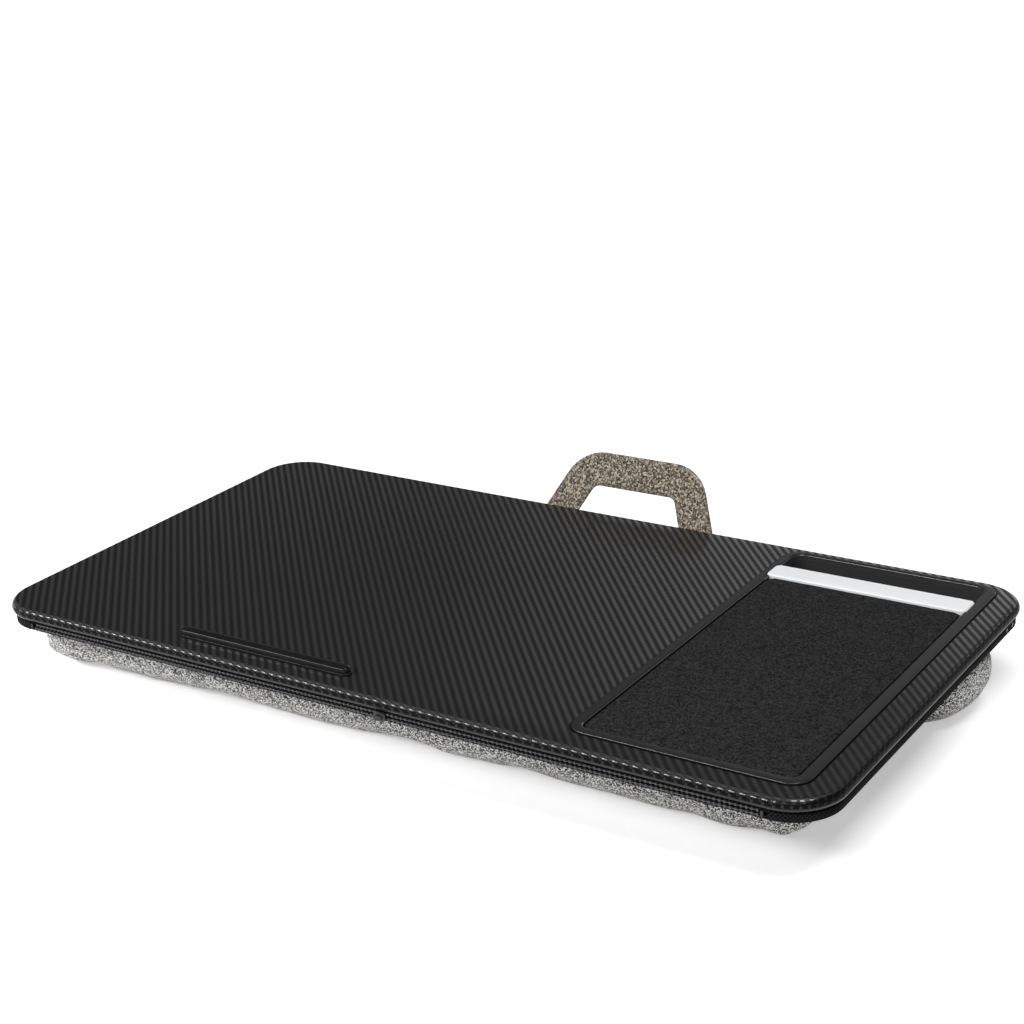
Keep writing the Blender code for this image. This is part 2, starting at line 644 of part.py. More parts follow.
def bolster_rings(left, right, front, rear, corner, settle, wall):
    """Rings up a bolster along X. Its front swells by settle at the left and sinks at the right."""
    rings = []
    for inset, z in bolster_profile(rear - front, wall):
        radius = max(corner - inset, (rear - front) * BOLSTER_LEAST_SHARE)
        outline = rounded_outline(left + inset, right - inset, front + inset, rear - inset,
                                  radius, radius, BOLSTER_CORNER_STEPS)
        ring = []
        for x, y in outline:
            along = 2 * (x - left) / (right - left) - 1
            frontness = (rear - y) / (rear - front)
            ring.append(Vector((x, y + settle * along * frontness, z)))
        rings.append(ring)
    return rings


def make_bolster(side, sizes, parent, cloth, beads):
    """One bolster: a cloth bag sewn to the panel, open at its seam, and the beads in it."""
    outside = bolster_rings(*sizes, 0)
    inside = bolster_rings(*sizes, BOLSTER_CLOTH)
    piece(f"{side}_bolster_cover", loft(outside + inside[::-1]), parent, cloth, 60)
    fill = bolster_rings(*sizes, BOLSTER_CLOTH + SEAT_GAP)
    piece(f"{side}_bead_fill", loft(fill), parent, beads, 60)


def make_bolsters(parent, cloth, beads):
    """The two bolsters, with a gap between them along the middle of the desk."""
    near = BOLSTER_GAP / 2
    front = (-HALF_LENGTH + FRONT_LEFT_MARGIN, HALF_LENGTH - FRONT_RIGHT_MARGIN,
             -near - FRONT_WIDTH, -near, FRONT_CORNER, FRONT_SETTLE)
    rear = (-HALF_LENGTH + REAR_MARGIN, HALF_LENGTH - REAR_MARGIN, near, near + REAR_WIDTH, REAR_CORNER, 0)
    make_bolster("front", front, parent, cloth, beads)
    make_bolster("rear", rear, parent, cloth, beads)


def make_centre_web(parent, material):
    """The cloth between the two bolsters, sewn against the panel. It clears their rising sides."""
    rise = BOLSTER_TOP * (1 - BOLSTER_MIDDLE_SHARE)
    height_share = 1 - BOLSTER_WEB / rise
    drawn = BOLSTER_DRAW_IN * (1 - math.sqrt(1 - height_share ** 2))
    seam_y = BOLSTER_GAP / 2 + drawn - SEAT_GAP
    half_x = HALF_LENGTH - FRONT_RIGHT_MARGIN - FRONT_CORNER
    web = block((-half_x, -seam_y, BOLSTER_TOP - BOLSTER_WEB), (half_x, seam_y, BOLSTER_TOP))
    return piece("centre_web", web, parent, material)


def handle_sections():
    """Sections round the handle, each an inner and an outer point in the handle's own plane."""
    lean = math.atan2((HANDLE_ROOT_WIDTH - HANDLE_TOP_WIDTH) / 2, HANDLE_REACH)
    foot = HANDLE_ROOT_WIDTH / 2
    run = HANDLE_STRAP / math.cos(lean)
    sections = [((foot - run, 0), (foot, 0))]
    turn = math.pi / 2 - lean
    bend_y = HANDLE_REACH - HANDLE_BEND
    along = bend_y + HANDLE_BEND * math.sin(lean)
    edge_x = foot - along * math.tan(lean)
    centre_x = edge_x - HANDLE_BEND * math.cos(lean)
    centre_y = along - HANDLE_BEND * math.sin(lean)
    inner = HANDLE_BEND - HANDLE_STRAP
    for step in range(HANDLE_BEND_STEPS + 1):
        angle = lean + turn * step / HANDLE_BEND_STEPS
        direction = (math.cos(angle), math.sin(angle))
        sections.append(((centre_x + inner * direction[0], centre_y + inner * direction[1]),
                         (centre_x + HANDLE_BEND * direction[0], centre_y + HANDLE_BEND * direction[1])))
    mirrored = [((-a[0], a[1]), (-b[0], b[1])) for a, b in reversed(sections)]
    return sections + mirrored


def strap_ring(inner, outer, half_thickness):
    """A section of the strap, with its long edges rounded."""
    start = Vector((inner[0], inner[1], 0))
    end = Vector((outer[0], outer[1], 0))
    across = (end - start).normalized()
    ease = HANDLE_ROUND_SHARE
    near_shares = ((0, -ease), (ease, -1))
    far_shares = ((-ease, -1), (0, -ease), (0, ease), (-ease, 1))
    last_shares = ((ease, 1), (0, ease))
    points = []
    for origin, shares in ((start, near_shares), (end, far_shares), (start, last_shares)):
        for along, height in shares:
            points.append(origin + half_thickness * (across * along + Vector((0, 0, height))))
    return points


def make_carry_handle(parent, material):
    """The padded strap, a loop that widens to its feet. Each foot is round about the axis."""
    half = HANDLE_THICKNESS / 2
    sections = handle_sections()
    rings = []
    foot_angles = [math.pi / 2 * step / (HANDLE_FOOT_STEPS + 0.2) for step in range(HANDLE_FOOT_STEPS, 0, -1)]
    for angle in foot_angles:
        drop = -half * math.sin(angle)
        inner, outer = sections[0]
        rings.append(strap_ring((inner[0], drop), (outer[0], drop), half * math.cos(angle)))
    for inner, outer in sections:
        rings.append(strap_ring(inner, outer, half))
    for angle in reversed(foot_angles):
        drop = -half * math.sin(angle)
        inner, outer = sections[-1]
        rings.append(strap_ring((inner[0], drop), (outer[0], drop), half * math.cos(angle)))
    return piece("carry_handle", loft(rings), parent, material, 50)


def make_handle_tabs(parent, material):
    """The two sewn tabs on the band that the handle's feet hang from."""
    inner_x = handle_sections()[0][0][0]
    outer_x = handle_sections()[0][1][0]
    back = HALF_DEPTH - BAND_INSET + SEAT_GAP
    bottom = HANDLE_Z - TAB_HEIGHT / 2
    for name, side in (("handle_tab_left", -1), ("handle_tab_right", 1)):
        ends = sorted((side * inner_x, side * outer_x))
        tab = block((ends[0], back, bottom), (ends[1], back + TAB_THICKNESS, bottom + TAB_HEIGHT))
        piece(name, tab, parent, material)


def build():
    """Make every piece of the lap desk in its place."""
    clear_scene()
    leather = paint("leather", (0.022, 0.022, 0.024), 0.45)
    foam = paint("foam", (0.55, 0.54, 0.50), 0.90)
    board = paint("board", (0.42, 0.30, 0.18), 0.75)
    lining = paint("lining", (0.030, 0.030, 0.032), 0.90)
    plastic = paint("tray_plastic", (0.030, 0.030, 0.032), 0.50)
    pad = paint("pad_cloth", (0.020, 0.020, 0.021), 0.95)
    white = paint("white_plastic", (0.80, 0.82, 0.84), 0.35)
    rubber = paint("ledge_rubber", (0.012, 0.012, 0.013), 0.25)
    woven = paint("woven_tape", (0.015, 0.015, 0.016), 0.85)
    nylon = paint("zip_nylon", (0.030, 0.030, 0.032), 0.45)
    metal = paint("zip_metal", (0.050, 0.050, 0.055), 0.35, 1.0)
    heather = paint("bolster_cloth", (0.30, 0.30, 0.30), 0.95)
    beads = paint("beads", (0.85, 0.85, 0.83), 0.80)
    strap = paint("handle_cloth", (0.33, 0.30, 0.26), 0.95)

    desk = pivot("desk_middle", (0, DESK_Y, 0))
    cover = make_leather_cover(desk, leather)
    padding = make_foam_layer(desk, foam)
    core = make_board_core(desk, board)
    under = make_underside_lining(desk, lining)
    make_device_tray(desk, plastic)
    make_mouse_pad(desk, pad)
    make_slot_bar(desk, white)
    cut_for_tray((cover, padding, core), under, desk)
    make_stop_ledge(desk, rubber, (cover, padding, core))

    make_side_band(desk, woven)
    make_zip_tapes(desk, woven)
    make_zip_teeth(desk, nylon)
    make_zip_stops(desk, metal)
    carriage = pivot("slider_carriage", (SLIDER_REST, 0, CHAIN_Z), desk)
    make_zip_slider(carriage, metal)

    make_base_panel(desk, lining)
    make_bolsters(desk, heather, beads)
    make_centre_web(desk, lining)

    hinge = pivot("handle_pivot", (0, HANDLE_Y, HANDLE_Z), desk, HANDLE_TILT)
    make_carry_handle(hinge, strap)
    make_handle_tabs(desk, strap)


build()
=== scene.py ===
import json
import math

import bmesh
import bpy
from mathutils import Matrix, Vector, noise


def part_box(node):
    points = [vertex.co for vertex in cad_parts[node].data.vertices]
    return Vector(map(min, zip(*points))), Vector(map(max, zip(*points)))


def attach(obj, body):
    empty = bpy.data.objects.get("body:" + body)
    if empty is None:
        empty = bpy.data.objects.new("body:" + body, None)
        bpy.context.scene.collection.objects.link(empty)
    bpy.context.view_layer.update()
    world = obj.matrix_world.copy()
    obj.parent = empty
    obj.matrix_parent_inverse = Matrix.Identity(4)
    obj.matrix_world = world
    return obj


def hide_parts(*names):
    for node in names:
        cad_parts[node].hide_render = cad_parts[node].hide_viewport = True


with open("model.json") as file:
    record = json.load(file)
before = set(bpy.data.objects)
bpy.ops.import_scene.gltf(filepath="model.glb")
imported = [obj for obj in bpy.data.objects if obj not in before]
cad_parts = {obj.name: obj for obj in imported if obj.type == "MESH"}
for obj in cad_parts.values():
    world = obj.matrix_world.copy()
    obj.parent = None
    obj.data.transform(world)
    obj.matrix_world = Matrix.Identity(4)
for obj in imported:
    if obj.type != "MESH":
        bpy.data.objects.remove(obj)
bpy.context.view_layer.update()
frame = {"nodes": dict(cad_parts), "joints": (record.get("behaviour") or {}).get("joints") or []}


# The camera stands at the desk's right front corner and looks down on it a little, with a
# long lens. Its place was fitted to straight edges of the board in the photograph.
skin_low, skin_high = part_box("leather_cover")
board_y = (skin_low.y + skin_high.y) / 2
board_top = skin_high.z
turn, tip, roll = math.radians(33.556), math.radians(20.914), math.radians(-2.799)
ahead = Vector((-math.sin(turn) * math.cos(tip), math.cos(turn) * math.cos(tip), -math.sin(tip)))
level = Vector((math.cos(turn), math.sin(turn), 0))
upright = level.cross(ahead)
across_view = math.cos(roll) * level + math.sin(roll) * upright
up_view = math.cos(roll) * upright - math.sin(roll) * level
camera = bpy.data.objects.new("camera", bpy.data.cameras.new("camera"))
SENSOR_MM, LENS_MM, NEAREST = 36, 71.61, 0.05
camera.data.sensor_width = SENSOR_MM
camera.data.lens = LENS_MM
camera.data.clip_start = NEAREST
CAMERA_STAND = Vector((0.6352, -0.9410, 0.4880))
camera_place = Vector((0, board_y, board_top)) + CAMERA_STAND
camera.matrix_world = (Matrix.Translation(camera_place)
                       @ Matrix((across_view, up_view, -ahead)).transposed().to_4x4())
bpy.context.collection.objects.link(camera)
bpy.context.scene.camera = camera
bpy.context.scene.view_settings.view_transform = "Standard"


# The skin is black leather-look vinyl with a twill pressed into it. It is stretched over the
# foam and the core, turned round the edge in a half round, and glued down in a margin below.
def rounded(left, right, front, rear, front_radius, rear_radius, steps=12):
    """Points round a rectangle with round corners, anticlockwise from its front right one."""
    corners = ((right - front_radius, front + front_radius, front_radius, -90),
               (right - rear_radius, rear - rear_radius, rear_radius, 0),
               (left + rear_radius, rear - rear_radius, rear_radius, 90),
               (left + front_radius, front + front_radius, front_radius, 180))
    points = []
    for x, y, radius, start in corners:
        for step in range(steps + 1):
            angle = math.radians(start + 90 * step / steps)
            points.append((x + radius * math.cos(angle), y + radius * math.sin(angle)))
    return points


def at_height(outline, z):
    """A flat outline of the desk, as points at the height z."""
    return [Vector((x, y, z)) for x, y in outline]


def box_ring(low, high, inset, z, front_radius, rear_radius, steps=12):
    """A box's outline at the height z, with round corners and drawn in by inset."""
    return at_height(rounded(low.x + inset, high.x - inset, low.y + inset, high.y - inset,
                             front_radius, rear_radius, steps), z)


def added(name, mesh, sharp=None):
    """The mesh as an object of the scene, with its edges smooth up to the sharp angle."""
    if sharp is not None:
        mesh.shade_smooth()
        mesh.set_sharp_from_angle(angle=math.radians(sharp))
    made = bpy.data.objects.new(name, mesh)
    bpy.context.collection.objects.link(made)
    return made


def loft(name, rings, sharp=40):
    """An object of rings of equally many points, joined in turn and closed at both ends."""
    shape = bmesh.new()
    rows = [[shape.verts.new(point) for point in ring] for ring in rings]
    count = len(rows[0])
    for low, high in zip(rows, rows[1:]):
        for index in range(count):
            after = (index + 1) % count
            shape.faces.new((low[index], low[after], high[after], high[index]))
    shape.faces.new(rows[0][::-1])
    shape.faces.new(rows[-1])
    bmesh.ops.recalc_face_normals(shape, faces=shape.faces)
    mesh = bpy.data.meshes.new(name)
    shape.to_mesh(mesh)
    shape.free()
    return added(name, mesh, sharp)


def settle(body, name, sharp=None):
    """The body with its modifiers made into a plain mesh, under the name."""
    graph = bpy.context.evaluated_depsgraph_get()
    mesh = bpy.data.meshes.new_from_object(body.evaluated_get(graph), depsgraph=graph)
    bpy.data.objects.remove(body, do_unlink=True)
    mesh.name = name
    return added(name, mesh, sharp)


def carve(body, name, steps, sharp=40):
    """The body joined to and cut by other bodies, which are then thrown away."""
    for operation, other in steps:
        joint = body.modifiers.new(other.name, "BOOLEAN")
        joint.operation = operation
        joint.solver = "EXACT"
        joint.object = other
    made = settle(body, name, sharp)
    for _, other in steps:
        bpy.data.objects.remove(other, do_unlink=True)
    return made


def set_stops(blend, stops):
    """Give a colour ramp its stops, each with a place and a colour."""
    while len(blend.elements) < len(stops):
        blend.elements.new(1)
    for element, (place, shade) in list(zip(blend.elements, stops)):
        element.position = place
        element.color = (*shade, 1)


class Link:
    """A socket in a finish's tree. Python's own operators on it add the Math nodes."""

    def __init__(self, tree, socket):
        self.tree = tree
        self.socket = socket

    def node(self, kind, settings=None, values=None, output=0):
        """Any node: its settings come first, then the values or links of its sockets."""
        made = self.tree.nodes.new(kind)
        for name, value in (settings or {}).items():
            if name == "stops":
                set_stops(made.color_ramp, value)
            else:
                setattr(made, name, value)
        for key, value in (values or {}).items():
            if isinstance(value, Link):
                self.tree.links.new(value.socket, made.inputs[key])
            else:
                made.inputs[key].default_value = value
        return Link(self.tree, made.outputs[output])

    def sibling(self, output):
        """Another output of the same node, by its name or number."""
        return Link(self.tree, self.socket.node.outputs[output])

    def maths(self, operation, other=0.0):
        """A Math node on this number and another."""
        return self.node("ShaderNodeMath", {"operation": operation}, {0: self, 1: other})

    def __add__(self, other):
        return self.maths("ADD", other)

    def __sub__(self, other):
        return self.maths("SUBTRACT", other)

    def __rsub__(self, other):
        return self.node("ShaderNodeMath", {"operation": "SUBTRACT"}, {0: other, 1: self})

    def __mul__(self, other):
        return self.maths("MULTIPLY", other)

    def __truediv__(self, other):
        return self.maths("DIVIDE", other)

    def __lt__(self, other):
        return self.maths("LESS_THAN", other)

    def __mod__(self, other):
        return self.maths("FLOORED_MODULO", other)

    __radd__ = __add__
    __rmul__ = __mul__

    def whole(self):
        return self.maths("FLOOR")

    def larger(self, other):
        return self.maths("MAXIMUM", other)

    def clipped(self):
        """This number, held between 0 and 1."""
        return self.node("ShaderNodeClamp", {}, {0: self})

    def ramp(self, start, span):
        """0 up to the start, and 1 from a span further. A negative span runs the other way."""
        return ((self - start) / span).clipped()

    def parts(self):
        """The X, Y and Z of a vector, or a colour's red, green and blue."""
        split = self.node("ShaderNodeSeparateXYZ", {}, {0: self})
        return [split.sibling(index) for index in range(3)]

    def mix(self, first, second):
        """A colour between two colours or links, by this number."""
        return self.node("ShaderNodeMix", {"data_type": "RGBA"}, {0: self, 6: first, 7: second}, 2)

    def shade(self, low, high):
        """A colour between two plain colours, by this number."""
        return self.mix((*low, 1), (*high, 1))

    def coloured(self, stops):
        """A colour by this number, from stops that each have a place and a colour."""
        return self.node("ShaderNodeValToRGB", {"stops": stops}, {0: self})

    def speckle(self, scale, detail=2.0):
        """Even noise over this vector, with grains of one to the scale."""
        return self.node("ShaderNodeTexNoise", {},
                         {"Vector": self, "Scale": scale, "Detail": detail})

    def cells(self, scale, randomness=1.0):
        """Uneven cells over this vector: how far off their middles are, and their own tones."""
        near = self.node("ShaderNodeTexVoronoi", {},
                         {"Vector": self, "Scale": scale, "Randomness": randomness})
        return near, near.sibling("Color").parts()[0]


def finish(name, roughness, **sockets):
    """A new finish: its material, its shader and a first link, on object coordinates."""
    material = bpy.data.materials.new(name)
    material.use_nodes = True
    shader = material.node_tree.nodes["Principled BSDF"]
    shader.inputs["Roughness"].default_value = roughness
    for socket, value in sockets.items():
        shader.inputs[socket.replace("_", " ")].default_value = value
    places = material.node_tree.nodes.new("ShaderNodeTexCoord")
    return material, shader, Link(material.node_tree, places.outputs["Object"])


def feed(shader, **links):
    """Plug links into a shader's sockets."""
    for socket, link in links.items():
        link.tree.links.new(link.socket, shader.inputs[socket.replace("_", " ")])


def raise_by(height, depth):
    """A bump: the height from 0 to 1 stands out by the depth, in metres."""
    return height.node("ShaderNodeBump", {},
                       {"Height": height, "Distance": depth, "Strength": 1.0})


def mottled(name, roughness, spots, dark, pale, grain=None, depth=0.0, worn=None, **sockets):
    """A finish that wanders between two colours by its spots, a noise's scale and detail. They
    also add their share to a worn roughness. The grain, or else the spots, stands up by depth."""
    material, shader, place = finish(name, roughness, **sockets)
    tone = place.speckle(*spots)
    feed(shader, Base_Color=tone.shade(dark, pale))
    if depth:
        feed(shader, Normal=raise_by(place.speckle(*(grain or spots)), depth))
    if worn:
        feed(shader, Roughness=tone * worn[0] + worn[1])
    return material


def paint(body, material):
    """Give a body one finish and no other."""
    body.data.materials.clear()
    body.data.materials.append(material)


def dress(body, material, node_names, rides="desk"):
    """Give a piece its finish, what it stands for and the body that it moves with."""
    paint(body, material)
    if node_names:
        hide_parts(*node_names)
    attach(body, rides)


SKIN = 0.0010
MARGIN = 0.0090
BOARD_CORNER = 0.0300
half_length = skin_high.x
half_depth = (skin_high.y - skin_low.y) / 2
nose = (skin_high.z - skin_low.z) / 2
nose_z = (skin_high.z + skin_low.z) / 2
TRAY_LAP = 0.0020
FIT = 0.0003
NOSE_STEPS = 14


def board_ring(inset, z, steps=12):
    """The board's outline, drawn in by inset."""
    radius = BOARD_CORNER - inset
    return box_ring(skin_low, skin_high, inset, z, radius, radius, steps)


def nose_rings(start, radius):
    """Rings down the board's half-round edge."""
    rings = []
    for step in range(NOSE_STEPS + 1):
        angle = math.pi * step / NOSE_STEPS
        rings.append(board_ring(start + radius * (1 - math.sin(angle)),
                                nose_z + radius * math.cos(angle)))
    return rings


tray_low, tray_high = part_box("device_tray")
TRAY_CORNER = 0.0120
turned = [board_ring(MARGIN, skin_low.z), board_ring(MARGIN, skin_low.z + SKIN)]
skin = loft("board_skin", nose_rings(0, nose) + turned + nose_rings(SKIN, nose - SKIN)[::-1])
reach = TRAY_LAP - FIT
opening = loft("opening", [box_ring(tray_low, tray_high, reach, z, TRAY_CORNER - reach,
                                    TRAY_CORNER - reach)
                           for z in (skin_low.z - SKIN, skin_high.z + SKIN)])
skin = carve(skin, "board_skin", [("DIFFERENCE", opening)])


def flatten_skin(place):
    """Where a point of the skin lay on the flat vinyl, so that the twill runs on round the edge."""
    inner = Vector((half_length - BOARD_CORNER, half_depth - BOARD_CORNER))
    flat = Vector((place.x, place.y - board_y))
    core = Vector((max(-inner.x, min(inner.x, flat.x)), max(-inner.y, min(inner.y, flat.y))))
    out = flat - core
    crease = BOARD_CORNER - nose
    if out.length < crease + FIT / 10 and place.z > nose_z:
        return flat
    rise = min(1.0, max(-1.0, (place.z - nose_z) / nose))
    run = nose * math.acos(rise)
    if place.z < nose_z and out.length < crease:
        run += crease - out.length
    return core + out.normalized() * (crease + run)


flat_map = skin.data.uv_layers.new(name="vinyl")
for corner in skin.data.loops:
    flat_map.data[corner.index].uv = flatten_skin(skin.data.vertices[corner.vertex_index].co)


def past_edge(place, low, high, corner):
    """How far a point lies outside a rectangle with round corners, seen from above."""
    offs = []
    for spot, near, far in zip(place.parts()[:2], low, high):
        off = (spot - (near + far) / 2).maths("ABSOLUTE") - ((far - near) / 2 - corner)
        offs.append(off.larger(0.0))
    return (offs[0] * offs[0] + offs[1] * offs[1]).maths("SQRT") - corner


# The twill's tows pass over two and under two. On the nose they are pressed in only above its
# middle. Below them a row of dashes is blacked out, a painted shade (wider on the right side's
# nose), and the edge is glossy. In front a painted highlight makes the weft pale.
TOW_ACROSS, TOW_DEEP = 0.0015, 0.0017
PRESSED_FROM, DASH_SHADE_FROM, NOSE_SOFT = 0.0017, -0.0009, 0.0003
EDGE_FROM, EDGE_SOFT = -0.0025, 0.0006
SHOULDER_FROM, SHOULDER_TO = nose * 0.74, nose * 0.955
SIDE_WIDTH, SIDE_SOFT, SIDE_LIFT, SIDE_STEP = 0.012, 0.004, 0.0002, 0.0012
FRONT_WIDTH, FRONT_SOFT = 0.022, 0.010
TRAY_SHADE, SHADE_SOFT = 0.0008, 0.0004
vinyl, vinyl_shader, vinyl_place = finish("pressed_vinyl", 0.42, Specular_IOR_Level=0.06,
                                          Coat_Roughness=0.13)
flat_x, flat_y, _ = vinyl_place.node("ShaderNodeUVMap", {"uv_map": "vinyl"}).parts()
vinyl_x, vinyl_y, vinyl_z = vinyl_place.parts()
up_nose = vinyl_z - nose_z
on_right = vinyl_x.ramp(skin_high.x - SIDE_WIDTH, SIDE_SOFT)
in_front = vinyl_y.ramp(skin_low.y + FRONT_WIDTH, -FRONT_SOFT)
column, row = flat_x / TOW_ACROSS, flat_y / TOW_DEEP
over_column, over_row = column - column.whole(), row - row.whole()
twill = (column.whole() + row.whole()) % 4
three_of_four = twill < 2.5
warp = twill < 1.5
weft = 1 - warp
side = warp * over_column + weft * over_row
run = (warp * (twill + over_row) + weft * (twill - 2 + over_column)) / 2
crown = side * (1 - side) * 2.4 + run * (1 - run) * 1.6
fibre = (side * 25.0).maths("SINE") * 0.06
sunk = (0.08 - run * (1 - run)).clipped() * 12.0
top_tow = warp * (1 - sunk)
grain = vinyl_place.speckle(1800, 3.0)
wear = vinyl_place.speckle(22, 3.0)
side_lift = on_right * (three_of_four * SIDE_STEP + SIDE_LIFT)
pressed = (up_nose - side_lift).ramp(PRESSED_FROM, NOSE_SOFT)
# In the heel band the colour and coat are blacked out in dashes, a painted shade, more on the
# right.
heel = up_nose.ramp(DASH_SHADE_FROM, NOSE_SOFT) * (1 - pressed)
painted_dash_shade = heel * (three_of_four + on_right * 0.6).clipped()
lower_edge = up_nose.ramp(EDGE_FROM, -EDGE_SOFT)
shoulder = up_nose.ramp(SHOULDER_FROM, 0.0002) * up_nose.ramp(SHOULDER_TO, -0.0001)
# On the front shoulder the weft's base colour is lightened, a painted highlight.
painted_shoulder_highlight = shoulder * weft * in_front
# Next to the tray's rim the skin's colour and coat fade to black, a painted shadow of the rim.
from_tray = past_edge(vinyl_place, tray_low, tray_high, TRAY_CORNER)
clear_of_painted_shade = from_tray.ramp(TRAY_SHADE, SHADE_SOFT) * (1 - painted_dash_shade)
vinyl_tone = (pressed * (top_tow * 1.3 + 0.45) + grain * 0.4 + painted_shoulder_highlight * 2.6) * clear_of_painted_shade / 4
feed(vinyl_shader, Base_Color=vinyl_tone.shade((0.003, 0.003, 0.0032), (0.056, 0.056, 0.0575)),
     Roughness=wear * 0.10 + 0.38,
     Coat_Weight=(pressed * (top_tow * 0.95 - 0.47) + 0.52 + lower_edge * 0.4) * clear_of_painted_shade,
     Normal=raise_by((crown + fibre) * pressed + grain * 0.12, 0.00004))
dress(skin, vinyl, ["leather_cover", "foam_layer"])


# Under the skin lie a stiff fibreboard and, below it, the black lining cloth that roofs the
# pocket. The lining is glued inside the skin's turned margin.
fibreboard = mottled("fibreboard", 0.8, (400, 6.0), (0.30, 0.20, 0.11), (0.52, 0.39, 0.25),
                     depth=0.0002)
paint(frame["nodes"]["board_core"], fibreboard)


def plain_weave(place_x, place_y, pitch):
    """The height of a plain weave of round threads, and which cells have the warp on top."""
    column, row = place_x / pitch, place_y / pitch
    over_column, over_row = column - column.whole(), row - row.whole()
    warp = ((column.whole() + row.whole()) % 2) < 0.5
    side = warp * over_column + (1 - warp) * over_row
    run = warp * over_row + (1 - warp) * over_column
    return side * (1 - side) * 2 + run * (1 - run) * 2, warp


LINING_THREAD = 0.0006
lining_cloth, lining_shader, lining_place = finish("lining_cloth", 0.9, Specular_IOR_Level=0.2)
lining_x, lining_y, _ = lining_place.parts()
lining_weave, _ = plain_weave(lining_x, lining_y, LINING_THREAD)
lining_fuzz = lining_place.speckle(900)
lining_tone = lining_weave * 0.6 + lining_fuzz * 0.4
feed(lining_shader, Base_Color=lining_tone.shade((0.008, 0.008, 0.009), (0.038, 0.038, 0.040)),
     Normal=raise_by(lining_weave + lining_fuzz * 0.3, 0.00012))
roof_low, roof_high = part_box("underside_lining")
roof_inset = roof_low.x + half_length
SLOT_LEFT, SLOT_RIGHT, SLOT_FRONT = 0.1317, 0.2549, board_y + 0.1166
WELL_ROOM = 0.0016
roof = loft("pocket_roof", [board_ring(roof_inset, z) for z in (roof_low.z, roof_high.z)])
well_gap = rounded(SLOT_LEFT - WELL_ROOM, SLOT_RIGHT + WELL_ROOM, SLOT_FRONT - WELL_ROOM,
                   board_y + half_depth, FIT, FIT, 2)
roof_cut = loft("roof_cut", [at_height(well_gap, z)
                             for z in (roof_low.z - FIT, roof_high.z + FIT)])
roof = carve(roof, "pocket_roof", [("DIFFERENCE", roof_cut)])
dress(roof, lining_cloth, ["underside_lining"])


# The device tray is one moulding of black plastic with a fine spark-eroded face. Its rim lies
# on the skin, its recess holds the pad, and a well at the back takes the edge of a device.
RIM_ROUND, LIP_ROUND = 0.0006, 0.0012
RIM_LEFT, RIM_RIGHT, RIM_FRONT, RIM_REAR = 0.0062, 0.0073, 0.0062, 0.0035
RECESS_DEPTH, RECESS_FRONT_CORNER, RECESS_REAR_CORNER = 0.0031, 0.0060, 0.0090
TRAY_WALL = 0.0013
rim_bottom = skin_high.z + FIT
tray_floor = tray_high.z - RECESS_DEPTH
recess_left, recess_right = tray_low.x + RIM_LEFT, tray_high.x - RIM_RIGHT
recess_front, recess_rear = tray_low.y + RIM_FRONT, tray_high.y - RIM_REAR


def tray_ring(inset, z):
    """The tray's rim, drawn in by inset."""
    return box_ring(tray_low, tray_high, inset, z, TRAY_CORNER - inset, TRAY_CORNER - inset)


def recess_ring(grow, z):
    """The recess's edge, grown outwards."""
    return at_height(rounded(recess_left - grow, recess_right + grow, recess_front - grow,
                             recess_rear + grow, RECESS_FRONT_CORNER + grow,
                             RECESS_REAR_CORNER + grow), z)


def eased(ring, radius, top, steps=5):
    """Rings over a rounded upper edge."""
    rings = []
    for step in range(steps + 1):
        angle = math.pi / 2 * step / steps
        rings.append(ring(radius * (1 - math.cos(angle)), top - radius * (1 - math.sin(angle))))
    return rings


tray_rings = [tray_ring(TRAY_LAP, tray_floor - TRAY_WALL), tray_ring(TRAY_LAP, rim_bottom),
              tray_ring(0, rim_bottom)]
tray_rings += eased(tray_ring, RIM_ROUND, tray_high.z)
tray_rings += eased(recess_ring, LIP_ROUND, tray_high.z)[::-1]
tray_rings.append(recess_ring(0, tray_floor))
tray = loft("tray", tray_rings, 50)
SLOT_STEP, SLOT_CORNER = 0.0005, 0.0085
slot_rear = recess_rear - SLOT_STEP
slot_floor = tray_low.z + TRAY_WALL


def slot_ring(grow, z):
    """The slot's edge, grown by its wall."""
    return at_height(rounded(SLOT_LEFT - grow, SLOT_RIGHT + grow, SLOT_FRONT - grow,
                             slot_rear + grow, SLOT_STEP + grow, SLOT_CORNER + grow), z)


well = loft("well", [slot_ring(TRAY_WALL, z) for z in (tray_low.z, tray_floor - TRAY_WALL / 2)])
slot_space = loft("slot_space", [slot_ring(0, z) for z in (slot_floor, tray_high.z + SKIN)])
bar_low, bar_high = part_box("slot_bar")
notch = loft("notch", [box_ring(bar_low, bar_high, -FIT, z, FIT, FIT, 2)
                       for z in (tray_floor, tray_high.z + SKIN)])
tray = carve(tray, "tray", [("UNION", well), ("DIFFERENCE", slot_space), ("DIFFERENCE", notch)], 50)
DEEP_FROM, DEEP_SOFT, SHEEN_SOFT, ROUND_FROM, ROUND_SOFT = 0.0010, 0.0006, 0.0005, 0.00008, 0.0001
moulding, moulding_shader, moulding_place = finish("eroded_plastic", 0.35, IOR=1.22,
                                                   Coat_Roughness=0.12)
_, moulding_y, moulding_z = moulding_place.parts()
sparks = moulding_place.speckle(3000)
handled = moulding_place.speckle(30, 3.0)
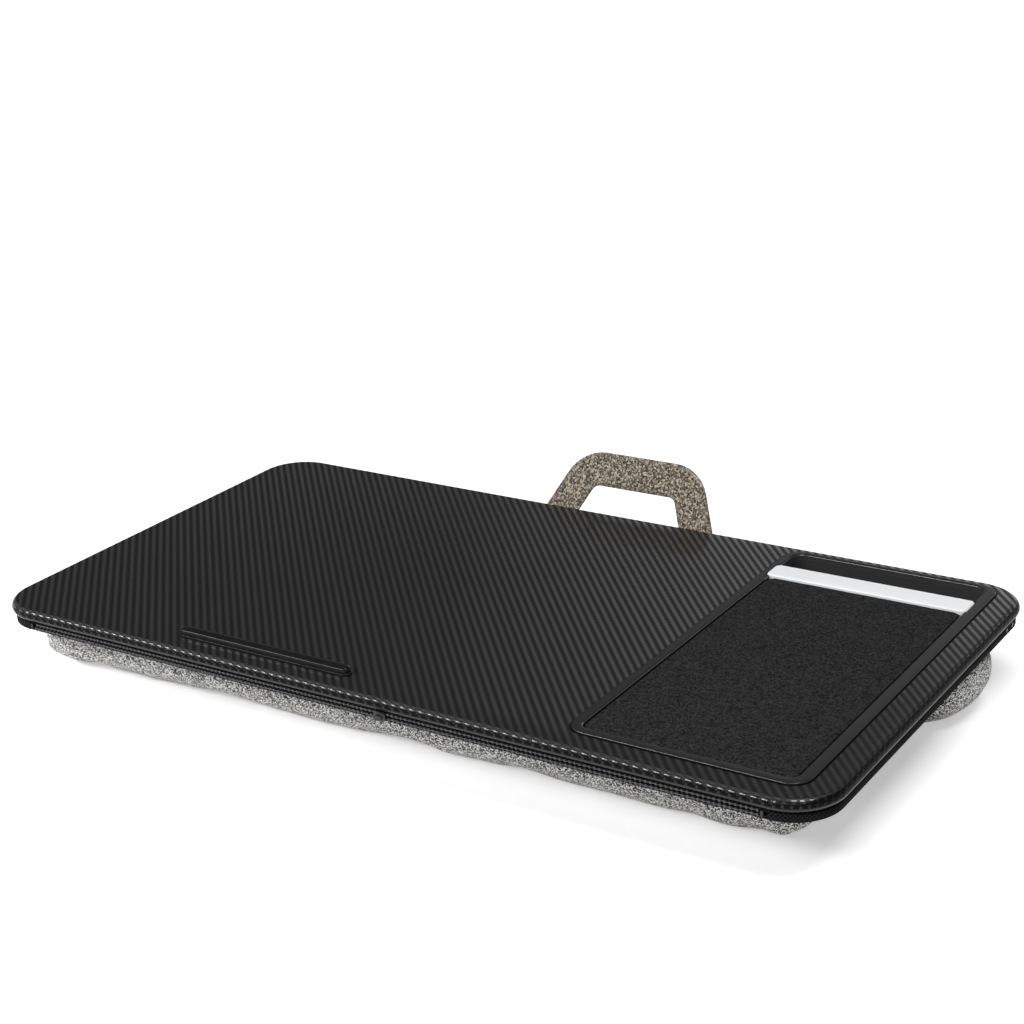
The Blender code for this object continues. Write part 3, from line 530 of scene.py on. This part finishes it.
# Below the top the recess walls are painted darker, a painted shade; in the slot's well they are
# painted paler, a painted sheen.
deep = moulding_z.ramp(tray_high.z - DEEP_FROM, -DEEP_SOFT)
painted_sheen = deep * moulding_y.ramp(SLOT_FRONT, SHEEN_SOFT)
polished = moulding_z.ramp(tray_high.z - ROUND_FROM, -ROUND_SOFT) * (1 - deep)
dark_plastic_and_recess_shade = (sparks - deep * 3).clipped().shade((0.010, 0.010, 0.011), (0.026, 0.026, 0.0275))
sheen_painted_plastic = sparks.shade((0.024, 0.024, 0.025), (0.048, 0.048, 0.050))
feed(moulding_shader, Base_Color=painted_sheen.mix(dark_plastic_and_recess_shade, sheen_painted_plastic),
     Roughness=handled * 0.12 + 0.26, Coat_Weight=polished, Normal=raise_by(sparks, 0.00002))
dress(tray, moulding, ["device_tray"])


# The mouse pad is fine black cloth on a thin foam back, cut to drop into the recess. Its top
# edge is pressed round.
pad_low, pad_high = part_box("mouse_pad")
PAD_ROUND, PAD_GAP, PAD_REAR_CORNER = 0.0007, 0.0007, 0.0050


def pad_ring(inset, z):
    """The pad's edge, which leaves a gap to the recess, drawn in by inset."""
    inset += PAD_GAP
    return box_ring(pad_low, pad_high, inset, z, RECESS_FRONT_CORNER - inset - FIT,
                    PAD_REAR_CORNER)


pad = loft("cloth_pad", [pad_ring(0, pad_low.z)] + eased(pad_ring, PAD_ROUND, pad_high.z), 60)
PAD_THREAD = 0.0007
pad_cloth, pad_shader, pad_place = finish("pad_cloth", 0.9, Specular_IOR_Level=0.08)
pad_x, pad_y, _ = pad_place.parts()
pad_weave, _ = plain_weave(pad_x + pad_y * 0.5, pad_y, PAD_THREAD)
pad_fuzz = pad_place.speckle(1300, 3.0)
_, pad_fleck = pad_place.cells(1150)
pad_tone = (pad_fleck * 0.75 + pad_weave * 0.15 + pad_fuzz * 0.1).ramp(0.1, 0.8)
feed(pad_shader, Base_Color=pad_tone.shade((0.0010, 0.0010, 0.0010), (0.034, 0.034, 0.035)),
     Normal=raise_by(pad_weave * 0.5 + pad_fuzz, 0.00012))
dress(pad, pad_cloth, ["mouse_pad"])


# The bar between the pad and the slot is satin white plastic, pressed into notches in the
# tray's rim. All its upper edges are rounded.
BAR_ROUND, BAR_CORNER = 0.0011, 0.0036


def bar_ring(inset, z):
    """The bar's outline, drawn in by inset."""
    return box_ring(bar_low, bar_high, inset, z, BAR_CORNER - inset, BAR_CORNER - inset)


bar = loft("white_bar", [bar_ring(0, bar_low.z)] + eased(bar_ring, BAR_ROUND, bar_high.z), 60)
satin = mottled("satin_white", 0.35, (40, 3.0), (0.74, 0.76, 0.78), (0.82, 0.83, 0.84),
                grain=(2200,), depth=0.000012, worn=(0.10, 0.28))
dress(bar, satin, ["slot_bar"])


# The stop ledge is moulded black rubber, shiny with a round crest on a narrow foot. Its pegs
# go down through the board.
ledge_low, ledge_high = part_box("stop_ledge")
ledge_foot = board_top + FIT
FOOT_RISE, FOOT_STEP = 0.0012, 0.0009
crest_width = (ledge_high.y - ledge_low.y) / 2 - FOOT_STEP


def ledge_ring(inset, z):
    """The ledge's outline, drawn in by inset. Its ends are round."""
    radius = (ledge_high.y - ledge_low.y) / 2 - inset - FIT / 4
    return box_ring(ledge_low, ledge_high, inset, z, radius, radius, 8)


ledge_rings = [ledge_ring(0, ledge_foot), ledge_ring(0, ledge_foot + FOOT_RISE * 0.7),
               ledge_ring(FOOT_STEP * 0.2, ledge_foot + FOOT_RISE * 0.95),
               ledge_ring(FOOT_STEP * 0.8, ledge_foot + FOOT_RISE)]
crest_drop = crest_width * 0.55
for step in range(9):
    angle = math.radians(88) * step / 8
    ledge_rings.append(ledge_ring(FOOT_STEP + crest_width * (1 - math.cos(angle)),
                                  ledge_high.z - crest_drop * (1 - math.sin(angle))))
ledge = loft("rubber_ledge", ledge_rings, 60)
rubber = mottled("ledge_rubber", 0.2, (60, 4.0), (0.006, 0.006, 0.0065), (0.014, 0.014, 0.015),
                 grain=(500,), depth=0.00001, worn=(0.16, 0.08), IOR=1.24)
dress(ledge, rubber, ["stop_ledge"])


# The band closes the pocket at the right, the rear and the left. It is black webbing, sewn
# to the skin's margin and the panel, with a lap near the right rear corner.
band_low, band_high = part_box("side_band")
BAND_THICK = 0.0012
band_inset = half_length - band_high.x
BAND_ROUND = 0.00035


def band_path(inset):
    """The band's line round three sides, from the front right corner to the front left one."""
    return [Vector((p.x, p.y)) for p in board_ring(inset, 0, 16)]


outer_line, inner_line = band_path(band_inset), band_path(band_inset + BAND_THICK)
run_length = 0.0
band_runs = []
band_rings = []
for index, (outer, inner) in enumerate(zip(outer_line, inner_line)):
    if index:
        run_length += (outer - outer_line[index - 1]).length
    band_runs.append(run_length)
    out = (outer - inner).normalized() * BAND_ROUND
    section = ((inner, band_low.z), (inner, band_high.z), (outer - out, band_high.z),
               (outer, band_high.z - BAND_ROUND), (outer, (band_low.z + band_high.z) / 2),
               (outer, band_low.z + BAND_ROUND), (outer - out, band_low.z))
    band_rings.append([Vector((point.x, point.y, z)) for point, z in section])
band = loft("webbing_band", band_rings, 60)


def lay_along(body, runs, count):
    """A map of a strip: its length along the path, and its height."""
    layer = body.data.uv_layers.new(name="web")
    for corner in body.data.loops:
        index = corner.vertex_index
        layer.data[corner.index].uv = (runs[index // count], body.data.vertices[index].co.z)


lay_along(band, band_runs, len(band_rings[0]))
WEB_THREAD = 0.0012
END_WIDTH, END_SOFT, END_SHADE = 0.008, 0.004, 0.75
webbing, webbing_shader, webbing_place = finish("black_webbing", 0.85, Specular_IOR_Level=0.1)
web_x, web_z, _ = webbing_place.node("ShaderNodeUVMap", {"uv_map": "web"}).parts()
web_weave, web_warp = plain_weave(web_x, web_z, WEB_THREAD)
web_fuzz = webbing_place.speckle(1500)
# The band's right end is painted darker, a painted shade.
shaded_right_end = webbing_place.parts()[0].ramp(skin_high.x - END_WIDTH, END_SOFT)
web_height = web_warp * 0.45 + web_weave * 0.3 + web_fuzz * 0.25
web_tone = web_height.ramp(0.42, 0.4) * (1 - shaded_right_end * END_SHADE)
feed(webbing_shader, Base_Color=web_tone.shade((0.0005, 0.0005, 0.0005), (0.019, 0.019, 0.0195)),
     Normal=raise_by(web_weave, 0.00022))
dress(band, webbing, ["side_band"])


# A coil zip closes the front: two woven tapes, a row of nylon teeth on each, a metal stop at
# both ends and a slider without a pull.
def zip_tape(name, node):
    """One tape, a flat woven strip with a soft edge."""
    low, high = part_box(node)
    soft = (high.y - low.y) / 3
    section = ((low.y + soft, low.z), (high.y, low.z), (high.y, high.z), (low.y + soft, high.z),
               (low.y, high.z - soft), (low.y, low.z + soft))
    stations = [low.x + (high.x - low.x) * step / 60 for step in range(61)]
    tape = loft(name, [[Vector((x, y, z)) for y, z in section] for x in stations], 60)
    lay_along(tape, [x - low.x for x in stations], len(section))
    dress(tape, webbing, [node])


zip_tape("upper_tape", "zip_tape_upper")
zip_tape("lower_tape", "zip_tape_lower")


def wire(tree, kind, values, **settings):
    """A Geometry Nodes node's first output. Its values are numbers, or sockets to link."""
    made = tree.nodes.new(kind)
    for name, value in settings.items():
        setattr(made, name, value)
    for key, value in values.items():
        if isinstance(value, bpy.types.NodeSocket):
            tree.links.new(value, made.inputs[key])
        else:
            made.inputs[key].default_value = value
    return made.outputs[0]


def repeat_on_line(name, material):
    """A tree that sets round beads along the carrier's line, on a cord."""
    tree = bpy.data.node_groups.new(name, "GeometryNodeTree")
    for socket, way, kind in (("Geometry", "INPUT", "NodeSocketGeometry"),
                              ("Pitch", "INPUT", "NodeSocketFloat"),
                              ("Bead", "INPUT", "NodeSocketVector"),
                              ("Cord", "INPUT", "NodeSocketFloat"),
                              ("Geometry", "OUTPUT", "NodeSocketGeometry")):
        tree.interface.new_socket(socket, in_out=way, socket_type=kind)
    given = tree.nodes.new("NodeGroupInput").outputs
    line = wire(tree, "GeometryNodeMeshToCurve", {"Mesh": given["Geometry"]})
    even = wire(tree, "GeometryNodeResampleCurve", {"Curve": line, "Length": given["Pitch"]},
                mode="LENGTH")
    turned_to = wire(tree, "FunctionNodeAlignRotationToVector",
                     {"Vector": wire(tree, "GeometryNodeInputTangent", {})}, axis="X")
    bead = wire(tree, "GeometryNodeMeshUVSphere", {"Segments": 8, "Rings": 5, "Radius": 1.0})
    beads = wire(tree, "GeometryNodeInstanceOnPoints",
                 {"Points": even, "Instance": bead, "Rotation": turned_to, "Scale": given["Bead"]})
    circle = wire(tree, "GeometryNodeCurvePrimitiveCircle",
                  {"Resolution": 8, "Radius": given["Cord"]})
    cord = wire(tree, "GeometryNodeCurveToMesh",
                {"Curve": line, "Profile Curve": circle, "Fill Caps": True})
    both = wire(tree, "GeometryNodeJoinGeometry", {0: beads})
    tree.links.new(cord, both.node.inputs[0])
    real = wire(tree, "GeometryNodeRealizeInstances", {0: both})
    smooth = wire(tree, "GeometryNodeSetShadeSmooth", {0: real})
    painted = wire(tree, "GeometryNodeSetMaterial", {0: smooth, "Material": material})
    tree.links.new(painted, tree.nodes.new("NodeGroupOutput").inputs[0])
    return tree


def grow(name, lines, tree, values):
    """The tree's result on some lines of points, as a plain mesh."""
    mesh = bpy.data.meshes.new(name)
    points, edges = [], []
    for line in lines:
        edges += [(len(points) + index, len(points) + index + 1) for index in range(len(line) - 1)]
        points += line
    mesh.from_pydata(points, edges, [])
    carrier = added(name, mesh)
    modifier = carrier.modifiers.new("repeat", "NODES")
    modifier.node_group = tree
    for socket in tree.interface.items_tree:
        if socket.in_out == "INPUT" and socket.name in values:
            modifier[socket.identifier] = values[socket.name]
    bpy.context.view_layer.update()
    return settle(carrier, name)


# The band's lap is held by two upright rows of long grey stitches, which wander a little.
LAP_PLACES = (0.1090, 0.1180)
LAP_STEPS, LAP_OUT, LAP_SWAY = 10, 0.0001, 0.0016
lap_top, lap_foot = band_high.z - 0.0012, band_low.z + 0.0028
lap_thread = mottled("grey_lap_thread", 0.5, (2500,), (0.20, 0.20, 0.20), (0.42, 0.42, 0.42))
lap_tree = repeat_on_line("lap_stitches", lap_thread)
lap_lines = []
for lap_y in LAP_PLACES:
    before, after = [(a, b) for a, b in zip(outer_line, outer_line[1:])
                     if a.x > 0 and a.y <= board_y + lap_y < b.y][0]
    share = (board_y + lap_y - before.y) / (after.y - before.y)
    lap_x = before.x + (after.x - before.x) * share + LAP_OUT
    lap_line = []
    for step in range(LAP_STEPS + 1):
        sway = LAP_SWAY * math.sin(math.pi * step / LAP_STEPS)
        lap_line.append(Vector((lap_x, board_y + lap_y + sway,
                                lap_top + (lap_foot - lap_top) * step / LAP_STEPS)))
    lap_lines.append(lap_line)
lap = grow("lap_stitches", lap_lines, lap_tree,
           {"Pitch": 0.0024, "Bead": (0.0013, 0.00032, 0.00032), "Cord": 0.0002})
dress(lap, lap_thread, [])


nylon = mottled("zip_nylon", 0.4, (200, 3.0), (0.030, 0.030, 0.032), (0.075, 0.075, 0.080),
                worn=(0.2, 0.25))
coil_tree = repeat_on_line("coil", nylon)
COIL = {"Pitch": 0.00296, "Bead": (0.00088, 0.00062, 0.00088), "Cord": 0.00026}
COIL_SINK = 0.00022
half_pitch = COIL["Pitch"] / 2
for name, node, up in (("upper_coil", "zip_teeth_upper", 1), ("lower_coil", "zip_teeth_lower", -1)):
    row_low, row_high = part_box(node)
    middle_y = (row_low.y + row_high.y) / 2
    crest_z = row_low.z if up > 0 else row_high.z
    bead_z = crest_z + up * (COIL["Bead"][2] - COIL_SINK)
    shift = half_pitch * (up > 0)
    ends = [Vector((row_low.x + half_pitch + shift, middle_y, bead_z)),
            Vector((row_high.x - half_pitch, middle_y, bead_z))]
    dress(grow(name, [ends], coil_tree, COIL), nylon, [node])

thread = mottled("black_thread", 0.6, (2500,), (0.012, 0.012, 0.013), (0.050, 0.050, 0.052),
                 depth=0.00004)
stitch_tree = repeat_on_line("stitches", thread)
STITCHES = {"Pitch": 0.0028, "Bead": (0.00120, 0.00022, 0.00022), "Cord": 0.00008}

enamel = mottled("black_enamel", 0.3, (500, 4.0), (0.015, 0.015, 0.016), (0.055, 0.055, 0.060),
                 worn=(0.25, 0.18), Metallic=0.6)
for node in ("zip_stop_left", "zip_stop_right"):
    paint(frame["nodes"][node], enamel)


def softened(name, node, width):
    """A copy of a hard CAD piece with its edges broken."""
    shape = bmesh.new()
    shape.from_mesh(frame["nodes"][node].data)
    bmesh.ops.remove_doubles(shape, verts=shape.verts, dist=FIT / 30)
    bmesh.ops.dissolve_limit(shape, angle_limit=math.radians(2), verts=shape.verts,
                             edges=shape.edges)
    mesh = bpy.data.meshes.new(name)
    shape.to_mesh(mesh)
    shape.free()
    body = added(name + "_raw", mesh)
    bevel = body.modifiers.new("break", "BEVEL")
    bevel.width = width
    bevel.segments = 3
    bevel.limit_method = "ANGLE"
    bevel.angle_limit = math.radians(35)
    return settle(body, name, 45)


SLIDER_EDGE = 0.00018
slider = softened("enamel_slider", "zip_slider", SLIDER_EDGE)
dress(slider, enamel, ["zip_slider"], "slider")


# The base panel is a stiff sheet covered in the lining cloth. It floors the pocket, and the
# bolsters are sewn to it. A line of stitches runs round its edge below.
paint(frame["nodes"]["base_panel"], lining_cloth)
panel_low, panel_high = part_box("base_panel")
STITCH_INSET = 0.0030
edge_line = board_ring(half_length - panel_high.x + STITCH_INSET,
                       panel_low.z - STITCHES["Bead"][2] / 3)
hem = grow("panel_stitches", [edge_line + edge_line[:1]], stitch_tree, STITCHES)
dress(hem, thread, [])


# Two bolsters of grey heather knit hold the desk up. Each is a bag of small beads, sewn to
# the panel along its top. The beads have settled a little to the left in the front one.
BELLY_SHARE, FULL_SHARE, DRAW_IN, FLAT_CUT = 0.58, 0.80, 0.0060, 0.0005
SLACK, GIVE, VOXEL, SEWN_DEPTH, MOMENTS = 0.0012, 0.0022, 0.005, 0.004, 20
LUMP_SCALE, LUMP, FOOT_FADE = 38, 0.0006, 0.006
PUCKER_SCALE, PUCKER, SEAM_FADE, SEAM_FLAT = 260, 0.0008, 0.014, 0.001
bag_top = panel_low.z - FIT
bag_middle = bag_top * BELLY_SHARE


def bag_side(width):
    """Inset and height up a bag's side, from its flat base to its seam."""
    deep = bag_middle + FLAT_CUT
    start = math.asin((bag_middle / deep) ** (1 / FULL_SHARE))
    side = []
    for step in range(15):
        angle = start * (1 - step / 14)
        side.append((SLACK + (width / 2 - SLACK) * (1 - math.cos(angle) ** FULL_SHARE),
                     bag_middle - deep * math.sin(angle) ** FULL_SHARE))
    for step in range(1, 8):
        angle = math.pi / 2 * step / 7
        side.append((SLACK + DRAW_IN * (1 - math.cos(angle)),
                     bag_middle + (bag_top - bag_middle) * math.sin(angle)))
    return side


def bag(name, left, right, front, rear, corner, lean):
    """A bolster's first form. Its front swells by lean at the left and sinks at the right."""
    rings = []
    for inset, z in bag_side(rear - front):
        radius = max(corner - inset, (rear - front) / 20)
        outline = rounded(left + inset, right - inset, front + inset, rear - inset,
                          radius, radius, 10)
        ring = []
        for x, y in outline:
            swell = lean * (2 * (x - left) / (right - left) - 1) * (rear - y) / (rear - front)
            ring.append(Vector((x, board_y + y + swell, max(z, 0.0))))
        rings.append(ring)
    return loft(name, rings, 60)


def stuffed(body, name):
    """The bag as cloth, blown up by its beads: no point moves more than the most it can give."""
    remesh = body.modifiers.new("remesh", "REMESH")
    remesh.mode = "VOXEL"
    remesh.voxel_size = VOXEL
    body = settle(body, name + "_cloth")
    rest = [vertex.co.copy() for vertex in body.data.vertices]
    sewn = body.vertex_groups.new(name="sewn")
    sewn.add([index for index, place in enumerate(rest) if place.z > bag_top - SEWN_DEPTH],
             1.0, "REPLACE")
    cloth = body.modifiers.new("cloth", "CLOTH")
    cloth.settings.quality = 5
    cloth.settings.mass = 0.2
    cloth.settings.use_pressure = True
    cloth.settings.uniform_pressure_force = 4
    cloth.settings.shrink_min = -0.04
    cloth.settings.effector_weights.gravity = 0
    cloth.settings.vertex_group_mass = "sewn"
    cloth.point_cache.frame_start, cloth.point_cache.frame_end = 1, MOMENTS
    for moment in range(1, MOMENTS + 1):
        bpy.context.scene.frame_set(moment)
    graph = bpy.context.evaluated_depsgraph_get()
    moved = [vertex.co.copy() for vertex in body.evaluated_get(graph).data.vertices]
    body.modifiers.remove(cloth)
    for vertex, start, end in zip(body.data.vertices, rest, moved):
        step = end - start
        place = start + step * min(1.0, GIVE / max(step.length, GIVE / 100))
        place.z = min(max(place.z, 0.0), bag_top)
        vertex.co = place
    bpy.context.scene.frame_set(1)
    body.data.update()
    smooth = body.modifiers.new("smooth", "SUBSURF")
    smooth.levels = smooth.render_levels = 1
    body = settle(body, name)
    outward = [vertex.normal.copy() for vertex in body.data.vertices]
    for vertex, way in zip(body.data.vertices, outward):
        place = vertex.co
        lump = noise.noise(place * LUMP_SCALE) * LUMP * min(1.0, place.z / FOOT_FADE)
        near_seam = max(0.0, 1 - (bag_top - place.z) / SEAM_FADE)
        pucker = noise.noise(Vector((place.x * PUCKER_SCALE, place.y * PUCKER_SCALE, 3)))
        pucker *= PUCKER * near_seam ** 1.5 * (place.z < bag_top - SEAM_FLAT)
        vertex.co = place + way * (lump + pucker)
        vertex.co.z = min(max(vertex.co.z, 0.0), bag_top)
    body.data.shade_smooth()
    return body


knit, knit_shader, knit_place = finish("heather_knit", 0.95, Sheen_Weight=0.25,
                                       Sheen_Roughness=0.5)
loops = knit_place.node("ShaderNodeMapping", {}, {"Vector": knit_place, "Scale": (1, 1, 1.15)})
yarn, yarn_tone = loops.cells(1620)
fluff = knit_place.speckle(2600, 3.0)
heather = knit_place.speckle(300, 3.0)
knit_tone = (yarn_tone + fluff * 0.5 + heather * 0.3 - 0.40).clipped()
knit_colour = knit_tone.coloured(
    ((0.36, (0.004, 0.004, 0.004)), (0.48, (0.04, 0.039, 0.037)),
     (0.54, (0.62, 0.61, 0.59)), (0.62, (1.0, 0.99, 0.96))))
feed(knit_shader, Base_Color=knit_colour, Normal=raise_by(1 - yarn + fluff * 0.4, 0.00015))

# Each bag's left, right, front and rear edges, its corners' radius and its lean.
for name, nodes, sizes in (
        ("front", ["front_bolster_cover", "front_bead_fill"],
         (-half_length + 0.0025, half_length - 0.0275, -0.1220, -0.0300, 0.0240, 0.0050)),
        ("rear", ["rear_bolster_cover", "rear_bead_fill"],
         (-half_length + 0.0040, half_length - 0.0040, 0.0300, 0.1240, 0.0400, 0.0))):
    bolster = stuffed(bag(f"{name}_bag", *sizes), f"{name}_bolster")
    dress(bolster, knit, nodes)


# Between the bolsters a strip of the lining cloth is sewn against the panel, and hangs a
# hair below it in the middle.
web_low, web_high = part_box("centre_web")
SAG = 0.0012
WEB_STEPS, WEB_ACROSS = 40, 8
web_rings = []
for step in range(WEB_STEPS + 1):
    x = web_low.x + (web_high.x - web_low.x) * step / WEB_STEPS
    face = []
    for place in range(WEB_ACROSS + 1):
        share = place / WEB_ACROSS
        y = web_low.y + (web_high.y - web_low.y) * share
        wander = 0.6 + 0.4 * noise.noise(Vector((x * 9, share, 1)))
        face.append((y, SAG * 4 * share * (1 - share) * wander))
    web_rings.append([Vector((x, y, web_high.z - droop)) for y, droop in face]
                     + [Vector((x, y, web_low.z - droop)) for y, droop in reversed(face)])
web = loft("middle_cloth", web_rings, 60)
dress(web, lining_cloth, ["centre_web"])


# The carrying handle is a padded strap of beige heather cloth, wider at its feet, with a row
# of stitches along both edges. Its feet hang from two tabs sewn to the band.
handle_joint = next(joint for joint in frame["joints"] if joint["name"] == "handle_fold")
pivot = Vector(handle_joint["pos_m"])
HANDLE_TILT = math.radians(60)
ROOT_WIDTH, TOP_WIDTH, REACH, STRAP, BEND = 0.1320, 0.0900, 0.0480, 0.0230, 0.0290
HALF_THICK = 0.0020


def handle_lines():
    """Inner and outer edge points round the handle, in its own plane."""
    lean = math.atan2((ROOT_WIDTH - TOP_WIDTH) / 2, REACH)
    foot = ROOT_WIDTH / 2
    along = REACH - BEND + BEND * math.sin(lean)
    centre_x, centre_y = foot - along * math.tan(lean) - BEND * math.cos(lean), REACH - BEND
    sizes = (BEND - STRAP, BEND)

    def bend(angle):
        """The edge points at an angle round the bend."""
        return [(centre_x + size * math.cos(angle), centre_y + size * math.sin(angle))
                for size in sizes]

    legs = list(zip(((foot - STRAP / math.cos(lean), 0), (foot, 0)), bend(lean)))
    sections = []
    for step in range(7):
        share = step / 7
        sections.append([(a[0] + (b[0] - a[0]) * share, a[1] + (b[1] - a[1]) * share)
                         for a, b in legs])
    sections += [bend(lean + (math.pi / 2 - lean) * step / 14) for step in range(15)]
    sections += [[(centre_x * (1 - share), centre_y + size) for size in sizes]
                 for share in (0.25, 0.5, 0.75)]
    return sections + [[(0.0, REACH - STRAP), (0.0, REACH)]] + [
        [(-x, y) for x, y in section] for section in reversed(sections)]


def from_handle(x, along, off):
    """A point in the handle's plane, turned up to where the handle stands."""
    return Vector((x, pivot.y + along * math.cos(HANDLE_TILT) - off * math.sin(HANDLE_TILT),
                   pivot.z + along * math.sin(HANDLE_TILT) + off * math.cos(HANDLE_TILT)))


def strap_section(inner, outer, half):
    """A section of the padded strap: plump in the middle, thin at its sewn edges."""
    points = []
    width = math.dist(inner, outer)
    way = ((outer[0] - inner[0]) / width, (outer[1] - inner[1]) / width)
    for turn_step in range(20):
        angle = 2 * math.pi * turn_step / 20
        swing = math.copysign(abs(math.cos(angle)) ** 0.45, math.cos(angle))
        rise = math.copysign(abs(math.sin(angle)) ** 0.75, math.sin(angle))
        place = width / 2 * (1 + swing)
        points.append(from_handle(inner[0] + way[0] * place, inner[1] + way[1] * place,
                                  half * rise))
    return points


def strap_end(foot, angles):
    """Sections that round off the strap below one foot."""
    sections = []
    for angle in angles:
        drop = -HALF_THICK * math.sin(math.radians(angle))
        (x0, _), (x1, _) = foot
        sections.append(strap_section((x0, drop), (x1, drop),
                                      HALF_THICK * math.cos(math.radians(angle))))
    return sections


END_ANGLES = (80, 55, 30, 12)
lines = handle_lines()
handle_rings = strap_end(lines[0], END_ANGLES)
handle_rings += [strap_section(inner, outer, HALF_THICK) for inner, outer in lines]
handle_rings += strap_end(lines[-1], END_ANGLES[::-1])
handle = loft("padded_handle", handle_rings, 70)
beige, beige_shader, beige_place = finish("beige_heather", 0.95, Sheen_Weight=0.25,
                                          Sheen_Roughness=0.5)
beige_yarn, beige_tone = beige_place.cells(950, 0.8)
beige_fluff = beige_place.speckle(2400, 3.0)
beige_colour = (beige_tone * 0.6 + beige_fluff * 0.6 - 0.1).clipped().coloured(
    ((0.20, (0.018, 0.014, 0.010)), (0.42, (0.085, 0.068, 0.046)),
     (0.60, (0.24, 0.20, 0.145)), (0.80, (0.50, 0.44, 0.35))))
feed(beige_shader, Base_Color=beige_colour,
     Normal=raise_by(1 - beige_yarn + beige_fluff * 0.4, 0.0004))
dress(handle, beige, ["carry_handle"], "handle")

SEAM_SHARE, SEAM_RISE = 0.10, 0.88
handle_stitches = []
for share in (SEAM_SHARE, 1 - SEAM_SHARE):
    for face in (-1, 1):
        line = []
        for inner, outer in lines[1:-1]:
            x = inner[0] + (outer[0] - inner[0]) * share
            along = inner[1] + (outer[1] - inner[1]) * share
            line.append(from_handle(x, along, face * HALF_THICK * SEAM_RISE))
        handle_stitches.append(line)
sewing = mottled("grey_thread", 0.7, (2500,), (0.16, 0.145, 0.125), (0.34, 0.31, 0.27),
                 depth=0.00004)
sewing_tree = repeat_on_line("handle_stitches", sewing)
seams = grow("handle_seams", handle_stitches, sewing_tree, STITCHES)
dress(seams, sewing, [], "handle")

TAB_ROUND, TACK_IN, TACK_SIDE = 0.0007, 0.00091, 0.0015
for side_name in ("left", "right"):
    tab_low, tab_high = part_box(f"handle_tab_{side_name}")

    def tab_ring(inset, y):
        """The tab's outline seen from behind, drawn in by inset."""
        outline = rounded(tab_low.x + inset, tab_high.x - inset, tab_low.z + inset,
                          tab_high.z - inset, TAB_ROUND, TAB_ROUND, 4)
        return [Vector((x, y, z)) for x, z in outline]

    tab = loft(f"{side_name}_tab",
               [tab_ring(0, tab_low.y)] + eased(tab_ring, TAB_ROUND, tab_high.y, 4), 60)
    dress(tab, beige, [f"handle_tab_{side_name}"])
    tab_stitches = [[Vector((tab_low.x + TACK_SIDE, tab_high.y, z)),
                     Vector((tab_high.x - TACK_SIDE, tab_high.y, z))]
                    for z in (tab_low.z + TACK_IN, tab_high.z - TACK_IN)]
    tacks = grow(f"{side_name}_tab_stitches", tab_stitches, sewing_tree, STITCHES)
    dress(tacks, sewing, [])


# The desk lies on a white floor that glows, a painted light, for the camera and a little in
# reflections. The glow is weaker near the desk and fades up to full white in the distance. A
# strip lamp at the left front and a smaller lamp over the right end light it.
FLOOR_HALF, FLOOR_DROP = 20, 0.0002
floor_mesh = bpy.data.meshes.new("floor")
floor_mesh.from_pydata([(x * FLOOR_HALF, y * FLOOR_HALF, 0)
                        for x, y in ((-1, -1), (1, -1), (1, 1), (-1, 1))], [], [(0, 1, 2, 3)])
floor = added("floor", floor_mesh)
floor.location.z = -FLOOR_DROP
white, white_shader, white_place = finish("white_floor", 0.9, Specular_IOR_Level=0.0,
                                          Base_Color=(0.90, 0.90, 0.90, 1))
seen = white_place.node("ShaderNodeLightPath")
mirrored = seen.sibling("Is Glossy Ray")
distance = white_place.node("ShaderNodeVectorMath", {"operation": "LENGTH"}, {0: white_place}, 1)
glow = distance.ramp(0.45, 0.8) * 0.57 + 0.43
feed(white_shader, Emission_Color=glow.larger(mirrored).shade((0, 0, 0), (1, 1, 1)),
     Emission_Strength=seen + mirrored * 0.3)
paint(floor, white)

# The room is white where it is seen straight. In reflections its walls are pale low down, and
# dim at the rear and at the right. Its even fill comes more from the left.
world = bpy.data.worlds.new("room")
bpy.context.scene.world = world
world.use_nodes = True
room_tree = world.node_tree
straight = Link(room_tree, room_tree.nodes.new("ShaderNodeLightPath").outputs["Is Camera Ray"])
mirrors = straight.sibling("Is Glossy Ray").larger(straight.sibling("Is Transmission Ray"))
way_x, way_y, way_z = straight.node("ShaderNodeTexCoord").parts()
low_wall = way_z.ramp(0.42, -0.28) * (1 - way_y.ramp(0.0, 0.3) * 0.88)
rear_wall = way_z.ramp(0.50, -0.10) * way_x.ramp(-0.56, 0.28)
front_wall = way_z.ramp(0.60, -0.20) * way_y.ramp(0.0, -0.3)
right_dim = way_x.ramp(0.55, -0.35) * 0.58 + 0.42
wall = low_wall.larger(rear_wall.larger(front_wall)) * right_dim
sight = wall.shade((0.03, 0.03, 0.03), (1.0, 1.0, 1.0))
fill = (0.5 - way_x * 0.5).shade((0.16, 0.16, 0.16), (0.32, 0.32, 0.32))
colour = straight.larger(mirrors).mix(fill, straight.mix(sight, (1, 1, 1, 1)))
room_tree.links.new(colour.socket, room_tree.nodes["Background"].inputs["Color"])


def lamp(name, place, along, width, depth, power):
    """A soft rectangular lamp that looks at the desk's middle, its width turned along a line."""
    light = bpy.data.lights.new(name, "AREA")
    light.shape = "RECTANGLE"
    light.size, light.size_y = width, depth
    light.energy = power
    look = -Vector(place).normalized()
    across = Vector(along)
    across = (across - look * look.dot(across)).normalized()
    made = bpy.data.objects.new(name, light)
    made.matrix_world = (Matrix.Translation(place)
                         @ Matrix((across, across.cross(look), -look)).transposed().to_4x4())
    bpy.context.collection.objects.link(made)


lamp("strip", place=(-0.87, -1.39, 1.20), along=(-1.20, 0.54, -0.08), width=1.95, depth=0.28,
     power=33)
lamp("top", place=(0.65, -0.3, 1.5), along=(1, 0, 0), width=0.7, depth=0.6, power=14)
